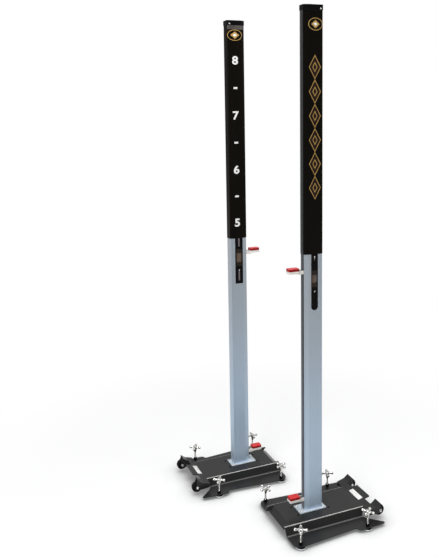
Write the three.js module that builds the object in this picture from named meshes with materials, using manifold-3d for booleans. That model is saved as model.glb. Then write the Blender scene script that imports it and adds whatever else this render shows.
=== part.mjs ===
// A pair of high jump standards. Each standard is a wheeled steel base with a tall aluminium mast, and
// a slider inside the mast carries two crossbar pegs that rise together. The two standards are alike,
// and one is turned half a turn, so that the pegs of both point towards the crossbar.
// Millimetres, Z up, floor at zero, origin on the floor midway between the two masts' origins.
// Within one standard X runs towards the wheels, away from the crossbar.

import * as THREE from 'three';
import { mergeVertices } from 'three/addons/utils/BufferGeometryUtils.js';
import Module from 'manifold-3d';

const wasm = await Module();
wasm.setup();

// Places of the two standards in the pair
const standOffAlong = 76.5;
const standOffAcross = 292.5;

// Fits
const seat = 0.3; // space between pieces that rest on or run in each other
const overrun = 6; // how far a cut, or a lap between joined plates, runs past the edge

// Base pan, one bent and welded steel plate part
const sheet = 5;
const sheetBend = 7; // radius of the top face at a bend
const deckTop = 60;
const deckHalf = 103;
const deckBarEnd = 208;
const deckWheelEnd = 257;
const wallLean = 20; // how far a side wall leans out on its way down
const wingTop = 18;
const wingHalf = 219;
const wingBarEnd = 206;
const wingCorner = 38;
const waistHalf = 195.5;
const waistAt = 150;
const ogeeLength = 27;
const tipEnd = 320;
const tipHalf = 213.5;
const tipRound = 9;
const tipRootShares = [0.82, 0.31]; // along the tip's reach, then from wall foot to wing edge
const tipHeelShares = [0.75, 0.0];

// Bent-down lip at the bar end, parted from the deck by two slits
const lipHalf = 88;
const lipLength = 32;
const lipDrop = 21;
const slit = 1.6;

// Bent-up wheel end: a straight slope that ends in two fenders, bent up further, and a tongue between
const fenderMargin = 5; // from an ear to the fender's edge
const fenderReach = 70;
const fenderRise = 32;
const fenderKneeShares = [0.66, 0.4]; // of the reach and rise, where the slope turns up into a fender
const fenderBend = 40;
const notchRootShare = 0.55; // how far along the fender the notches start
const tongueHalf = 59;
const tongueReach = 69;

// Wheels, their ears on the pan, and their axle bolts
const wheelRadius = 29;
const wheelWidth = 25;
const wheelMiddle = 135; // from the base's middle to a wheel's middle
const wheelLift = 17; // height of the tread above the floor while the pads stand on it
const wheelPlay = 1.5; // between a wheel and an ear
const axleAhead = 74; // from the deck's end to the axle
const axleRadius = 5;
const axleHeadRadius = 8;
const axleHeadHeight = 6.5;
const axleNutHeight = 5.5;
const earSheet = 4;
const earRadius = 13;
const earSideShares = [[0.64, 1.15], [0.1, 0.82]]; // along to the axle, then down in ear radii
const earHeelBack = 4;
const earHeelDrop = 2;
const tyreShares = [[1, 0.14], [0.94, 0.02], [0.86, 0], [0.7, 0.13], [0.44, 0.13], [0.4, 0]];

// Leveling screws and their foot pads
const footBarInset = 36; // from the wing's bar end
const footTipInset = 100; // from the tips' ends
const footSideInset = 17; // from the wing's side
const bossRadius = 10;
const bossHeight = 14;
const screwRadius = 5;
const screwTop = 106;
const hubRadius = 12;
const hubHeight = 18;
const hubTaper = 22;
const armReach = 35;
const armRadius = 5.4;
const armEndRadius = 7.5;
const armEndShares = [0.62, 0.74, 0.93]; // along the arm: where the end starts, is full, and closes
const handleTurns = { right: [20, 62, 70, 36], left: [21, 88, 57, 59] }; // degrees, as the photo shows them
const padRadius = 24;
const padHeight = 7;
const ringRadius = 22;
const ringHeight = 5;
const padFloor = 4;

// Foot plate of the mast and the ballast plate under the deck
const footPlateLength = 154;
const footPlateWidth = 76;
const footPlateHeight = 6;
const footPlateMiddle = -6;
const footPlateRound = 3;
const ballastLength = 230;
const ballastWidth = 160;
const ballastHeight = 25;

// Mast section and height
const mastNose = 47.5; // flat front end, towards the crossbar
const mastBack = 54;
const mastHalf = 25.4;
const noseHalf = 16.5;
const shoulder = 22; // where the broad faces turn in to the nose
const mastRound = 5;
const mastWall = 3;
const slotHalf = 14.5;
const fluteWidth = 2;
const fluteDepth = 0.8;
const mastTop = 2656; // top of its cap
const capHeight = 26;
const capRoof = 3;
const capWall = 3.4;

// Guide rail in the mast's slot
const railHalf = 9.5;
const railProud = 3;
const railDepth = 9.5;
const railEdge = 1.5;

// Scale sleeve round the upper mast
const sleeveBottom = 1433;
const sleeveWall = 1.3;

// Sight windows and their readers
const windowTop = 1440;
const squareBottom = 1166;
const squareMiddle = 2;
const squareWidth = 48;
const squareRound = 4;
const roundBottom = 1142;
const roundMiddle = 8.5;
const roundWidth = 39;
const sightWidth = 32;
const squareSightLow = 1292;
const squareSightHigh = 1347;
const roundSightLow = 1284;
const roundSightHigh = 1326;
const sightMargin = 22; // recessed band above and below a sight
const recessShare = 0.4; // of the mast's wall
const lineWidth = 5; // narrow slots above and below the sight
const lineUpperLow = 1390;
const lineUpperHigh = 1430;
const lineLowerLow = 1186;
const lineLowerHigh = 1238;

// Slider: bar, tape, glides
const barFront = 38;
const barBack = 30;
const barHalf = 17.2;
const barWall = 2.5;
const barRound = 3;
const barBottom = 92;
const barTop = 1400;
const tapeWidth = 34;
const tapeMiddle = 2;
const tapeThick = 0.6;
const glideHeight = 20;
const glideSkirt = 22;

// Pegs
const pegTop = 1365; // top of the upper peg
const pegSpacing = 1219.2; // four feet down to the lower peg
const pegStart = 72;
const pegLength = 60;
const pegWidth = 40;
const pegRound = 5;
const padThick = 14;
const padBevel = 2.5;
const trayThick = 12;
const fingerThick = 4.4;
const fingerHeight = 18;
const fingerReachShare = 0.7; // of the peg's length, where the finger's rib runs out under the tray

const wheelSteps = 20;
const roundSteps = 16;
const boltSteps = 12;
const armSteps = 8;

const wallFoot = deckHalf + wallLean;
const earReach = wheelWidth / 2 + wheelPlay + earSheet; // from a wheel's middle to an ear's far face
const fenderInner = wheelMiddle - earReach - fenderMargin;
const fenderOuter = wheelMiddle + earReach + fenderMargin;
const axleAt = deckWheelEnd + axleAhead;
const axleUp = wheelRadius + wheelLift;
const footAcross = wingHalf - footSideInset;
const feet = [
  [footBarInset - wingBarEnd, footAcross],
  [footBarInset - wingBarEnd, -footAcross],
  [tipEnd - footTipInset, footAcross],
  [tipEnd - footTipInset, -footAcross]
];
const mastFoot = deckTop + seat + footPlateHeight + seat;
const capBottom = mastTop - capHeight;

// Flat drawing helpers

const at = (x, y) => new THREE.Vector2(x, y);

function rectangle(x0, x1, y0, y1) {
  return [at(x0, y0), at(x1, y0), at(x1, y1), at(x0, y1)];
}

// A line or loop shifted to its left, with mitred corners
function shifted(points, distance, closed = false) {
  const last = points.length - 1;
  return points.map((point, i) => {
    const before = points[i > 0 ? i - 1 : last];
    const after = points[i < last ? i + 1 : 0];
    const into = point.clone().sub(before).normalize();
    const out = after.clone().sub(point).normalize();
    if (!closed && i === 0) into.copy(out);
    if (!closed && i === last) out.copy(into);
    const along = into.clone().add(out).normalize();
    const side = at(-along.y, along.x);
    return point.clone().addScaledVector(side, distance / along.dot(out));
  });
}

// Outline of a bent sheet from the line of its top face, which runs with the sheet on its right
function bent(line, thickness) {
  return [...line, ...shifted(line, -thickness).reverse()];
}

// A line with its corners rounded
function rounded(points, radius, closed = false, steps = 3) {
  const last = points.length - 1;
  return points.flatMap((point, i) => {
    if (!closed && (i === 0 || i === last)) return [point];
    const toBefore = points[i > 0 ? i - 1 : last].clone().sub(point).normalize();
    const toAfter = points[i < last ? i + 1 : 0].clone().sub(point).normalize();
    const half = Math.acos(toBefore.dot(toAfter)) / 2;
    const reach = radius / Math.tan(half);
    const middle = toBefore.clone().add(toAfter).normalize().multiplyScalar(radius / Math.sin(half));
    const start = toBefore.multiplyScalar(reach).sub(middle);
    const end = toAfter.multiplyScalar(reach).sub(middle);
    const turn = Math.atan2(start.cross(end), start.dot(end));
    return Array.from({ length: steps + 1 }, (_, k) =>
      start.clone().rotateAround(at(0, 0), turn * k / steps).add(middle).add(point));
  });
}

// Both halves of an outline that is drawn on one side of the X axis only
function mirrored(points) {
  const other = points.filter((point) => point.y !== 0).map((point) => at(point.x, -point.y));
  return [...points, ...other.reverse()];
}

// Solids

function solid(geometry) {
  const bare = geometry.clone();
  bare.deleteAttribute('normal');
  bare.deleteAttribute('uv');
  const merged = mergeVertices(bare);
  const faces = [];
  const index = merged.index.array;
  for (let i = 0; i < index.length; i += 3) {
    const [a, b, c] = index.slice(i, i + 3);
    if (a !== b && b !== c && c !== a) faces.push(a, b, c);
  }
  return new wasm.Manifold(new wasm.Mesh({
    numProp: 3,
    vertProperties: merged.attributes.position.array,
    triVerts: Uint32Array.from(faces)
  }));
}

const toX = new THREE.Vector3(1, 0, 0);
const toY = new THREE.Vector3(0, 1, 0);
const toZ = new THREE.Vector3(0, 0, 1);
const toMinusY = new THREE.Vector3(0, -1, 0);

function extruded(points, depth) {
  return new THREE.ExtrudeGeometry(new THREE.Shape(points), { depth, bevelEnabled: false });
}

// Outline in plan, raised from low to high
function raised(points, low, high) {
  return solid(extruded(points, high - low).translate(0, 0, low));
}

// Outline in side view (along, up), running across from low to high
function across(points, low, high) {
  const turn = new THREE.Matrix4().makeBasis(toX, toZ, toMinusY);
  return solid(extruded(points, high - low).applyMatrix4(turn).translate(0, high, 0));
}

// Outline in end view (across, up), running along from low to high
function along(points, low, high) {
  const turn = new THREE.Matrix4().makeBasis(toY, toZ, toX);
  return solid(extruded(points, high - low).applyMatrix4(turn).translate(low, 0, 0));
}

function block(x0, x1, y0, y1, z0, z1) {
  return raised(rectangle(x0, x1, y0, y1), z0, z1);
}

// Profile of radius and height, turned about the upright axis
function turned(profile, steps) {
  return solid(new THREE.LatheGeometry(profile, steps).rotateX(Math.PI / 2));
}

function post(x, y, radius, low, high) {
  const profile = [at(0, low), at(radius, low), at(radius, high), at(0, high)];
  return turned(profile, boltSteps).translate([x, y, 0]);
}

function joined(first, ...rest) {
  return rest.reduce((sum, piece) => sum.add(piece), first);
}

function cut(first, ...rest) {
  return rest.reduce((sum, piece) => sum.subtract(piece), first);
}

const finishes = {
  paint: { color: 0x4b4b4b, roughness: 0.55, metalness: 0.25 },
  darkSteel: { color: 0x3a3a3c, roughness: 0.6, metalness: 0.5 },
  zinc: { color: 0xb9c3cf, roughness: 0.35, metalness: 0.85 },
  aluminium: { color: 0x98a5b2, roughness: 0.4, metalness: 0.8 },
  blackPlastic: { color: 0x151518, roughness: 0.5, metalness: 0 },
  blackWrap: { color: 0x17140f, roughness: 0.45, metalness: 0 },
  chrome: { color: 0xd9dadd, roughness: 0.2, metalness: 1 },
  tape: { color: 0xe6d9c8, roughness: 0.6, metalness: 0 },
  nylon: { color: 0xdedbd2, roughness: 0.6, metalness: 0 },
  white: { color: 0xf1efec, roughness: 0.5, metalness: 0 },
  red: { color: 0xdc322d, roughness: 0.55, metalness: 0 },
  rubber: { color: 0x0f0f10, roughness: 0.8, metalness: 0 }
};

function shown(name, shape, finish) {
  const { vertProperties, triVerts } = shape.getMesh();
  const geometry = new THREE.BufferGeometry();
  geometry.setAttribute('position', new THREE.BufferAttribute(Float32Array.from(vertProperties), 3));
  geometry.setIndex(new THREE.BufferAttribute(Uint32Array.from(triVerts), 1));
  geometry.computeVertexNormals();
  const material = new THREE.MeshStandardMaterial({ ...finishes[finish], flatShading: true });
  const mesh = new THREE.Mesh(geometry, material);
  mesh.name = name;
  return mesh;
}

// Base pan

function panPlan() {
  const outline = new THREE.Shape();
  const tip = (shares) => [tipEnd * shares[0], wallFoot + (wingHalf - wallFoot) * shares[1]];
  outline.moveTo(-deckBarEnd, 0);
  outline.lineTo(-deckBarEnd, deckHalf);
  outline.lineTo(-wingBarEnd, wallFoot);
  outline.lineTo(-wingBarEnd, wingHalf - wingCorner);
  outline.absarc(wingCorner - wingBarEnd, wingHalf - wingCorner, wingCorner, Math.PI, Math.PI / 2, true);
  outline.lineTo(waistAt, waistHalf);
  outline.bezierCurveTo(waistAt + ogeeLength / 2, waistHalf, waistAt + ogeeLength / 3, wingHalf,
    waistAt + ogeeLength, wingHalf);
  outline.lineTo(tipEnd - footTipInset, wingHalf);
  outline.lineTo(tipEnd - tipRound, tipHalf);
  outline.quadraticCurveTo(tipEnd, tipHalf, tipEnd, tipHalf - tipRound);
  outline.lineTo(...tip(tipRootShares));
  outline.lineTo(...tip(tipHeelShares));
  outline.lineTo(deckWheelEnd, deckHalf);
  outline.lineTo(deckWheelEnd + overrun, deckHalf);
  outline.lineTo(deckWheelEnd + overrun, 0);
  return mirrored(outline.getPoints(6));
}

// The slope's top face from its start to a given share of the way to the fenders' knee, or beyond it
function slopeAt(share) {
  return at(deckWheelEnd + fenderReach * fenderKneeShares[0] * share,
    deckTop + fenderRise * fenderKneeShares[1] * share);
}

function fenderLine() {
  const tip = at(deckWheelEnd + fenderReach, deckTop + fenderRise);
  return rounded([slopeAt(0), slopeAt(1), tip], fenderBend);
}

function ear(low, high) {
  const angles = [0.2, 0, -0.15, -0.3, -0.45, -0.58];
  const round = angles.map((turn) => at(earRadius, 0).rotateAround(at(0, 0), Math.PI * turn));
  const side = earSideShares.map(([x, z]) => at(deckWheelEnd + axleAhead * x, axleUp - earRadius * z));
  const outline = [
    ...shifted(fenderLine(), -sheet / 2),
    ...round.map((point) => point.add(at(axleAt, axleUp))),
    ...side,
    at(deckWheelEnd - earHeelBack, axleUp - earHeelDrop)
  ];
  return across(outline, low, high);
}

function basePan() {
  const side = wingHalf + overrun;
  const bend = [at(-side, wingTop), at(-wallFoot, wingTop), at(-deckHalf, deckTop), at(deckHalf, deckTop),
    at(wallFoot, wingTop), at(side, wingTop)];
  const folded = along(bent(rounded(bend, sheetBend), sheet), -deckBarEnd - overrun, tipEnd + overrun);
  const plan = raised(panPlan(), wingTop - sheet - overrun, deckTop + overrun);
  const lipFold = lipLength - deckBarEnd;
  const lipGap = block(-deckBarEnd - overrun, lipFold, -lipHalf, lipHalf, wingTop, deckTop + overrun);
  const lipLine = [at(lipFold - lipLength, deckTop - lipDrop), at(lipFold, deckTop),
    at(lipFold + overrun, deckTop)];
  const lip = across(bent(lipLine, sheet), slit - lipHalf, lipHalf - slit);

  const fenders = across(bent(fenderLine(), sheet), -fenderOuter, fenderOuter);
  const notchRoot = deckWheelEnd + fenderReach * notchRootShare;
  const between = block(notchRoot, deckWheelEnd + fenderReach + overrun, -fenderInner, fenderInner,
    wingTop, deckTop + fenderRise + overrun);
  const tongueLine = [slopeAt(0), slopeAt(tongueReach / (fenderReach * fenderKneeShares[0]))];
  const tongue = across(bent(tongueLine, sheet), -tongueHalf, tongueHalf);
  const wheelEnd = joined(cut(fenders, between), tongue);

  const ears = [wheelMiddle - earReach, wheelMiddle + earReach - earSheet].flatMap((low) =>
    [ear(low, low + earSheet), ear(-low - earSheet, -low)]);
  const axleHoles = post(0, 0, axleRadius + seat, -fenderOuter, fenderOuter)
    .rotate([90, 0, 0]).translate([axleAt, 0, axleUp]);

  const bosses = feet.map(([x, y]) => post(x, y, bossRadius, wingTop - sheet / 2, wingTop + bossHeight));
  const screwHoles = feet.map(([x, y]) =>
    post(x, y, screwRadius + seat, wingTop - sheet - overrun, wingTop + bossHeight + overrun));

  const pan = joined(cut(folded.intersect(plan), lipGap), lip, wheelEnd, ...ears, ...bosses);
  return cut(pan, axleHoles, ...screwHoles);
}

// Wheels, axle bolts, leveling screws and foot pads, each about its own upright axis

function wheel() {
  const half = wheelWidth / 2;
  const side = tyreShares.map(([r, z]) => at(wheelRadius * r, wheelWidth * z - half));
  const bore = [at(axleRadius + seat, -half), at(axleRadius + seat, half)];
  const upper = side.map((point) => at(point.x, -point.y));
  const loop = [...side.reverse(), ...upper, bore[1], bore[0]];
  return turned([...loop, loop[0].clone()], wheelSteps);
}

function axle() {
  const grip = (earReach + seat) * 2;
  const top = grip + axleHeadHeight;
  return turned([at(0, -axleNutHeight), at(axleHeadRadius, -axleNutHeight), at(axleHeadRadius, 0),
    at(axleRadius, 0), at(axleRadius, grip), at(axleHeadRadius, grip),
    at(axleHeadRadius, grip + axleHeadHeight / 4), at(axleHeadRadius * 3 / 4, grip + axleHeadHeight * 3 / 4),
    at(0, top)], boltSteps);
}

function levelingScrew() {
  const hubBottom = screwTop - hubHeight;
  const crown = hubRadius / 3;
  const stem = turned([at(0, padFloor + seat), at(screwRadius, padFloor + seat),
    at(screwRadius, hubBottom - hubTaper), at(hubRadius, hubBottom), at(hubRadius, screwTop - crown),
    at(hubRadius - crown, screwTop), at(0, screwTop)], boltSteps);
  const arm = turned([at(0, 0), at(armRadius, 0), at(armRadius, armReach * armEndShares[0]),
    at(armEndRadius, armReach * armEndShares[1]), at(armEndRadius, armReach * armEndShares[2]),
    at(armEndRadius / 2, armReach), at(0, armReach)], armSteps);
  const level = [0, 0, screwTop - hubHeight / 2];
  const arms = [0, 90, 180, 270].map((turn) => arm.rotate([0, 90, turn]).translate(level));
  return joined(stem, ...arms);
}

function footPad() {
  const top = padHeight + ringHeight;
  return turned([at(0, 0), at(padRadius, 0), at(padRadius, padHeight), at(ringRadius, padHeight),
    at(ringRadius, top), at(screwRadius + seat, top), at(screwRadius + seat, padFloor), at(0, padFloor)],
  roundSteps);
}

// Foot plate and ballast plate, each about its own middle and up from zero

function footPlate() {
  const plan = rectangle(-footPlateLength / 2, footPlateLength / 2, -footPlateWidth / 2, footPlateWidth / 2);
  return raised(rounded(plan, footPlateRound, true), 0, footPlateHeight);
}

function ballastPlate() {
  return block(-ballastLength / 2, ballastLength / 2, -ballastWidth / 2, ballastWidth / 2, 0, ballastHeight);
}

// Mast and what is fixed to it

function mastOutline(flutes) {
  const corner = (x, y) => rounded([at(x, 0), at(x, y), at(0, y)], mastRound).slice(1, -1);
  const grooved = (from, to) => {
    const span = from.distanceTo(to);
    const count = flutes ? Math.round(span / (fluteWidth * 4)) : 0;
    const run = to.clone().sub(from).normalize();
    const inward = at(-run.y, run.x).multiplyScalar(fluteDepth);
    return Array.from({ length: count }, (_, i) => {
      const middle = from.clone().lerp(to, (i + 1 / 2) / count);
      const half = run.clone().multiplyScalar(fluteWidth / 2);
      return [middle.clone().sub(half), middle.clone().add(inward), middle.clone().add(half)];
    }).flat();
  };
  const low = corner(mastBack, -mastHalf).reverse();
  const high = corner(mastBack, mastHalf);
  const noseLow = at(-shoulder, -mastHalf);
  const noseHigh = at(-shoulder, mastHalf);
  return [
    at(-mastNose, -noseHalf),
    noseLow, ...grooved(noseLow, low[0]),
    ...low, ...grooved(low[low.length - 1], high[0]),
    ...high, ...grooved(high[high.length - 1], noseHigh),
    noseHigh, at(-mastNose, noseHalf)
  ];
}

function squareWindow(inset) {
  const [x0, x1] = [squareMiddle - squareWidth / 2 + inset, squareMiddle + squareWidth / 2 - inset];
  return rounded(rectangle(x0, x1, squareBottom + inset, windowTop - inset), squareRound, true);
}

function roundWindow(inset) {
  const half = roundWidth / 2 - inset;
  const low = roundBottom + roundWidth / 2;
  const outline = new THREE.Shape();
  outline.moveTo(roundMiddle + half, windowTop - inset);
  outline.lineTo(roundMiddle - half, windowTop - inset);
  outline.absarc(roundMiddle, low, half, Math.PI, 2 * Math.PI, false);
  return outline.getPoints(8);
}

function mast() {
  const tall = mastTop - capRoof - seat;
  const hollow = raised(shifted(mastOutline(false), mastWall, true), mastFoot - overrun, tall + overrun);
  const slot = block(-mastNose - overrun, -mastNose + mastWall + overrun, -slotHalf, slotHalf,
    mastFoot - overrun, tall + overrun);
  const inner = mastHalf - mastWall - overrun;
  const squareCut = across(squareWindow(0), inner, mastHalf + overrun);
  const roundCut = across(roundWindow(0), -mastHalf - overrun, -inner);
  return cut(raised(mastOutline(true), mastFoot, tall), hollow, slot, squareCut, roundCut);
}

function mastCap() {
  const inner = shifted(mastOutline(false), -seat, true);
  const outer = shifted(mastOutline(false), -seat - capWall, true);
  return cut(raised(outer, capBottom, mastTop), raised(inner, capBottom - overrun, mastTop - capRoof));
}

function guideRail() {
  const front = -mastNose - railProud;
  const plan = [at(front, -railHalf + railEdge), at(front + railEdge, -railHalf),
    at(front + railDepth, -railHalf), at(front + railDepth, railHalf),
    at(front + railEdge, railHalf), at(front, railHalf - railEdge)];
  return raised(plan, mastFoot, capBottom - seat);
}

function scaleSleeve() {
  const inner = shifted(mastOutline(false), -seat, true);
  const outer = shifted(mastOutline(false), -seat - sleeveWall, true);
  const top = capBottom - seat;
  const front = block(-mastNose - overrun, -mastNose + overrun, -noseHalf, noseHalf,
    sleeveBottom - overrun, top + overrun);
  return cut(raised(outer, sleeveBottom, top), raised(inner, sleeveBottom - overrun, top + overrun), front);
}

// A reader fills its window and leaves a sight onto the tape, with recessed bands and line slots
function reader(outline, middle, sightLow, sightHigh) {
  const half = sightWidth / 2;
  const back = mastHalf - mastWall;
  const floor = mastHalf - mastWall * recessShare;
  const slat = (low, high, width, from) =>
    across(rectangle(middle - width / 2, middle + width / 2, low, high), from, mastHalf + overrun);
  return cut(
    across(outline, back, mastHalf),
    slat(sightLow, sightHigh, half * 2, back - overrun),
    slat(sightLow - sightMargin, sightHigh + sightMargin, half * 2, floor),
    slat(lineUpperLow, lineUpperHigh, lineWidth, back - overrun),
    slat(lineLowerLow, lineLowerHigh, lineWidth, back - overrun)
  );
}

// Slider

function carriageBar() {
  const plan = rounded(rectangle(-barFront, barBack, -barHalf, barHalf), barRound, true);
  const inner = rectangle(barWall - barFront, barBack - barWall, barWall - barHalf, barHalf - barWall);
  return cut(raised(plan, barBottom, barTop), raised(inner, barBottom - overrun, barTop + overrun));
}

function measuringTape() {
  const face = barHalf + seat + tapeThick;
  const top = barTop + seat + tapeThick;
  const line = [at(-face, barBottom), at(-face, top), at(face, top), at(face, barBottom)];
  return along(bent(line, tapeThick), tapeMiddle - tapeWidth / 2, tapeMiddle + tapeWidth / 2);
}

// A glide fills the mast's hollow beyond the end of the bar, and its skirt runs along the bar's back
function glide(end, skirtEnd, outerEnd) {
  const fill = shifted(mastOutline(false), mastWall + seat, true);
  const front = railDepth - railProud + seat - mastNose;
  const span = (from, to) => raised(fill, Math.min(from, to), Math.max(from, to));
  const rear = block(barBack + seat, mastBack, -mastHalf, mastHalf, 0, mastTop);
  const nose = block(-mastNose, front, -mastHalf, mastHalf, 0, mastTop);
  return cut(joined(span(end, outerEnd), span(skirtEnd, outerEnd).intersect(rear)), nose);
}

// Pegs, from the top of the pad down and from the pad's near end towards the crossbar

function pegPad() {
  const inset = padBevel;
  const plan = rectangle(inset - pegLength, -inset, inset - pegWidth / 2, pegWidth / 2 - inset);
  const shape = new THREE.Shape(rounded(plan, pegRound, true));
  const depth = padThick - padBevel * 2;
  return solid(new THREE.ExtrudeGeometry(shape, {
    depth, bevelThickness: padBevel, bevelSize: padBevel, bevelSegments: 2
  }).translate(0, 0, -depth - padBevel));
}

function pegBracket() {
  const top = -padThick - seat;
  const tray = raised(rounded(rectangle(-pegLength, 0, -pegWidth / 2, pegWidth / 2), pegRound, true),
    top - trayThick, top);
  const inside = pegStart - barFront - seat;
  const rib = [at(inside, top), at(inside, top - fingerHeight), at(0, top - fingerHeight),
    at(-pegLength * fingerReachShare, top - trayThick / 2), at(-pegLength * fingerReachShare, top)];
  const near = railHalf + seat;
  const fingers = [across(rib, near, near + fingerThick), across(rib, -near - fingerThick, -near)];
  return joined(tray, ...fingers);
}

// One whole standard

function standard(side) {
  const group = new THREE.Group();
  const add = (name, shape, finish, x = 0, y = 0, z = 0) => {
    const mesh = shown(`${side}_${name}`, shape, finish);
    mesh.position.set(x, y, z);
    group.add(mesh);
    return mesh;
  };

  add('base_pan', basePan(), 'paint');
  add('ballast_plate', ballastPlate(), 'darkSteel', 0, 0, deckTop - sheet - seat - ballastHeight);
  add('foot_plate', footPlate(), 'zinc', footPlateMiddle, 0, deckTop + seat);
  add('mast', mast(), 'aluminium');
  add('mast_cap', mastCap(), 'blackPlastic');
  add('scale_sleeve', scaleSleeve(), 'blackWrap');
  add('guide_rail', guideRail(), 'blackPlastic');
  add('reader_square', reader(squareWindow(seat), squareMiddle, squareSightLow, squareSightHigh),
    'blackPlastic');
  const other = reader(roundWindow(seat), roundMiddle, roundSightLow, roundSightHigh);
  add('reader_round', other.mirror([0, 1, 0]), 'blackPlastic');

  const glideTop = barTop + tapeThick + seat * 2;
  add('carriage_bar', carriageBar(), 'aluminium');
  add('measuring_tape', measuringTape(), 'tape');
  add('upper_glide', glide(glideTop, barTop - glideSkirt, glideTop + glideHeight), 'nylon');
  add('lower_glide', glide(barBottom - seat, barBottom + glideSkirt, barBottom - seat - glideHeight), 'nylon');
  [['upper', pegTop], ['lower', pegTop - pegSpacing]].forEach(([level, z]) => {
    add(`${level}_peg_bracket`, pegBracket(), 'white', -pegStart, 0, z);
    add(`${level}_peg_pad`, pegPad(), 'red', -pegStart, 0, z);
  });

  feet.forEach(([x, y], i) => {
    const turn = handleTurns[side][i] * Math.PI / 180;
    add(`leveling_screw_${i + 1}`, levelingScrew(), 'chrome', x, y).rotation.z = turn;
    add(`foot_pad_${i + 1}`, footPad(), 'chrome', x, y);
  });
  [1, -1].forEach((way, i) => {
    const roll = -way * Math.PI / 2;
    const axleFrom = wheelMiddle - earReach - seat;
    add(`wheel_${i + 1}`, wheel(), 'rubber', axleAt, way * wheelMiddle, axleUp).rotation.x = roll;
    add(`axle_${i + 1}`, axle(), 'chrome', axleAt, way * axleFrom, axleUp).rotation.x = roll;
  });
  return group;
}

const pair = new THREE.Group();
const right = standard('right');
right.position.set(standOffAlong, -standOffAcross, 0);
const left = standard('left');
left.position.set(-standOffAlong, standOffAcross, 0);
left.rotation.z = Math.PI;
pair.add(right, left);

export default pair;
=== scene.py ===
"""Dresses a pair of high jump standards: painted bases, fluted masts, printed scale sleeves,
sight windows, crossbar pegs, leveling screws and wheels, on a plain pale studio floor."""
import math

import bmesh
import bpy
from bpy.props import FloatProperty, FloatVectorProperty, IntProperty, PointerProperty
from mathutils import Matrix, Vector


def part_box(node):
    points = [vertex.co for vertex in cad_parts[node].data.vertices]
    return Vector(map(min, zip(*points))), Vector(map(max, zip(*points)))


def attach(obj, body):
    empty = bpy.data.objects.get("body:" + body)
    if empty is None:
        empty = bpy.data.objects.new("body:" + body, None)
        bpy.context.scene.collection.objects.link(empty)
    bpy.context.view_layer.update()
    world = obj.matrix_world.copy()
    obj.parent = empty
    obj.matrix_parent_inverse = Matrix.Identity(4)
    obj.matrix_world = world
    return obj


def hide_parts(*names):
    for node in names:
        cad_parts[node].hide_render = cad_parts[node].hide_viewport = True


bl_info = {
    "name": "High Jump Standards",
    "version": (1, 0, 0),
    "blender": (4, 5, 0),
    "location": "3D View > Sidebar > Standards",
    "description": "Builds the visible pieces of a pair of high jump standards",
    "category": "Object",
}

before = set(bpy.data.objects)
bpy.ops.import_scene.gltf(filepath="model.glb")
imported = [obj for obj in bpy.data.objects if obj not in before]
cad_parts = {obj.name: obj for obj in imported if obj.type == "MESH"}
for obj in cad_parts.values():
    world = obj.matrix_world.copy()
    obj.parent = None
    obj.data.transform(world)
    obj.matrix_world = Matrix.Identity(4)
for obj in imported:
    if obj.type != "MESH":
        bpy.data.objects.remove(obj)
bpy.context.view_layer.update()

ROOT = "standards"
SIDES = {"right": 1.0, "left": -1.0}
FEET = (1, 2, 3, 4)
WHEELS = (1, 2)
UP = Vector((0.0, 0.0, 1.0))


# Sizes and colours

def length(name, description, default):
    return FloatProperty(name=name, description=description, default=default, min=0.0,
                         unit="LENGTH", precision=5)


def lengths(name, description, default):
    return FloatVectorProperty(name=name, description=description, default=default, size=2, min=0.0,
                               unit="LENGTH", precision=5)


def colour(name, description, default):
    return FloatVectorProperty(name=name, description=description, default=default, size=3,
                               min=0.0, max=1.0, subtype="COLOR_GAMMA")


def angle(name, description, default):
    return FloatProperty(name=name, description=description, default=default, subtype="ANGLE",
                         unit="ROTATION")


def power(name, description, default):
    return FloatProperty(name=name, description=description, default=default, unit="POWER")


def share(name, description, default):
    return FloatProperty(name=name, description=description, default=default, min=0.0, max=1.0)


def rgb(red, green, blue):
    return (red / 255, green / 255, blue / 255)


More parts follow.
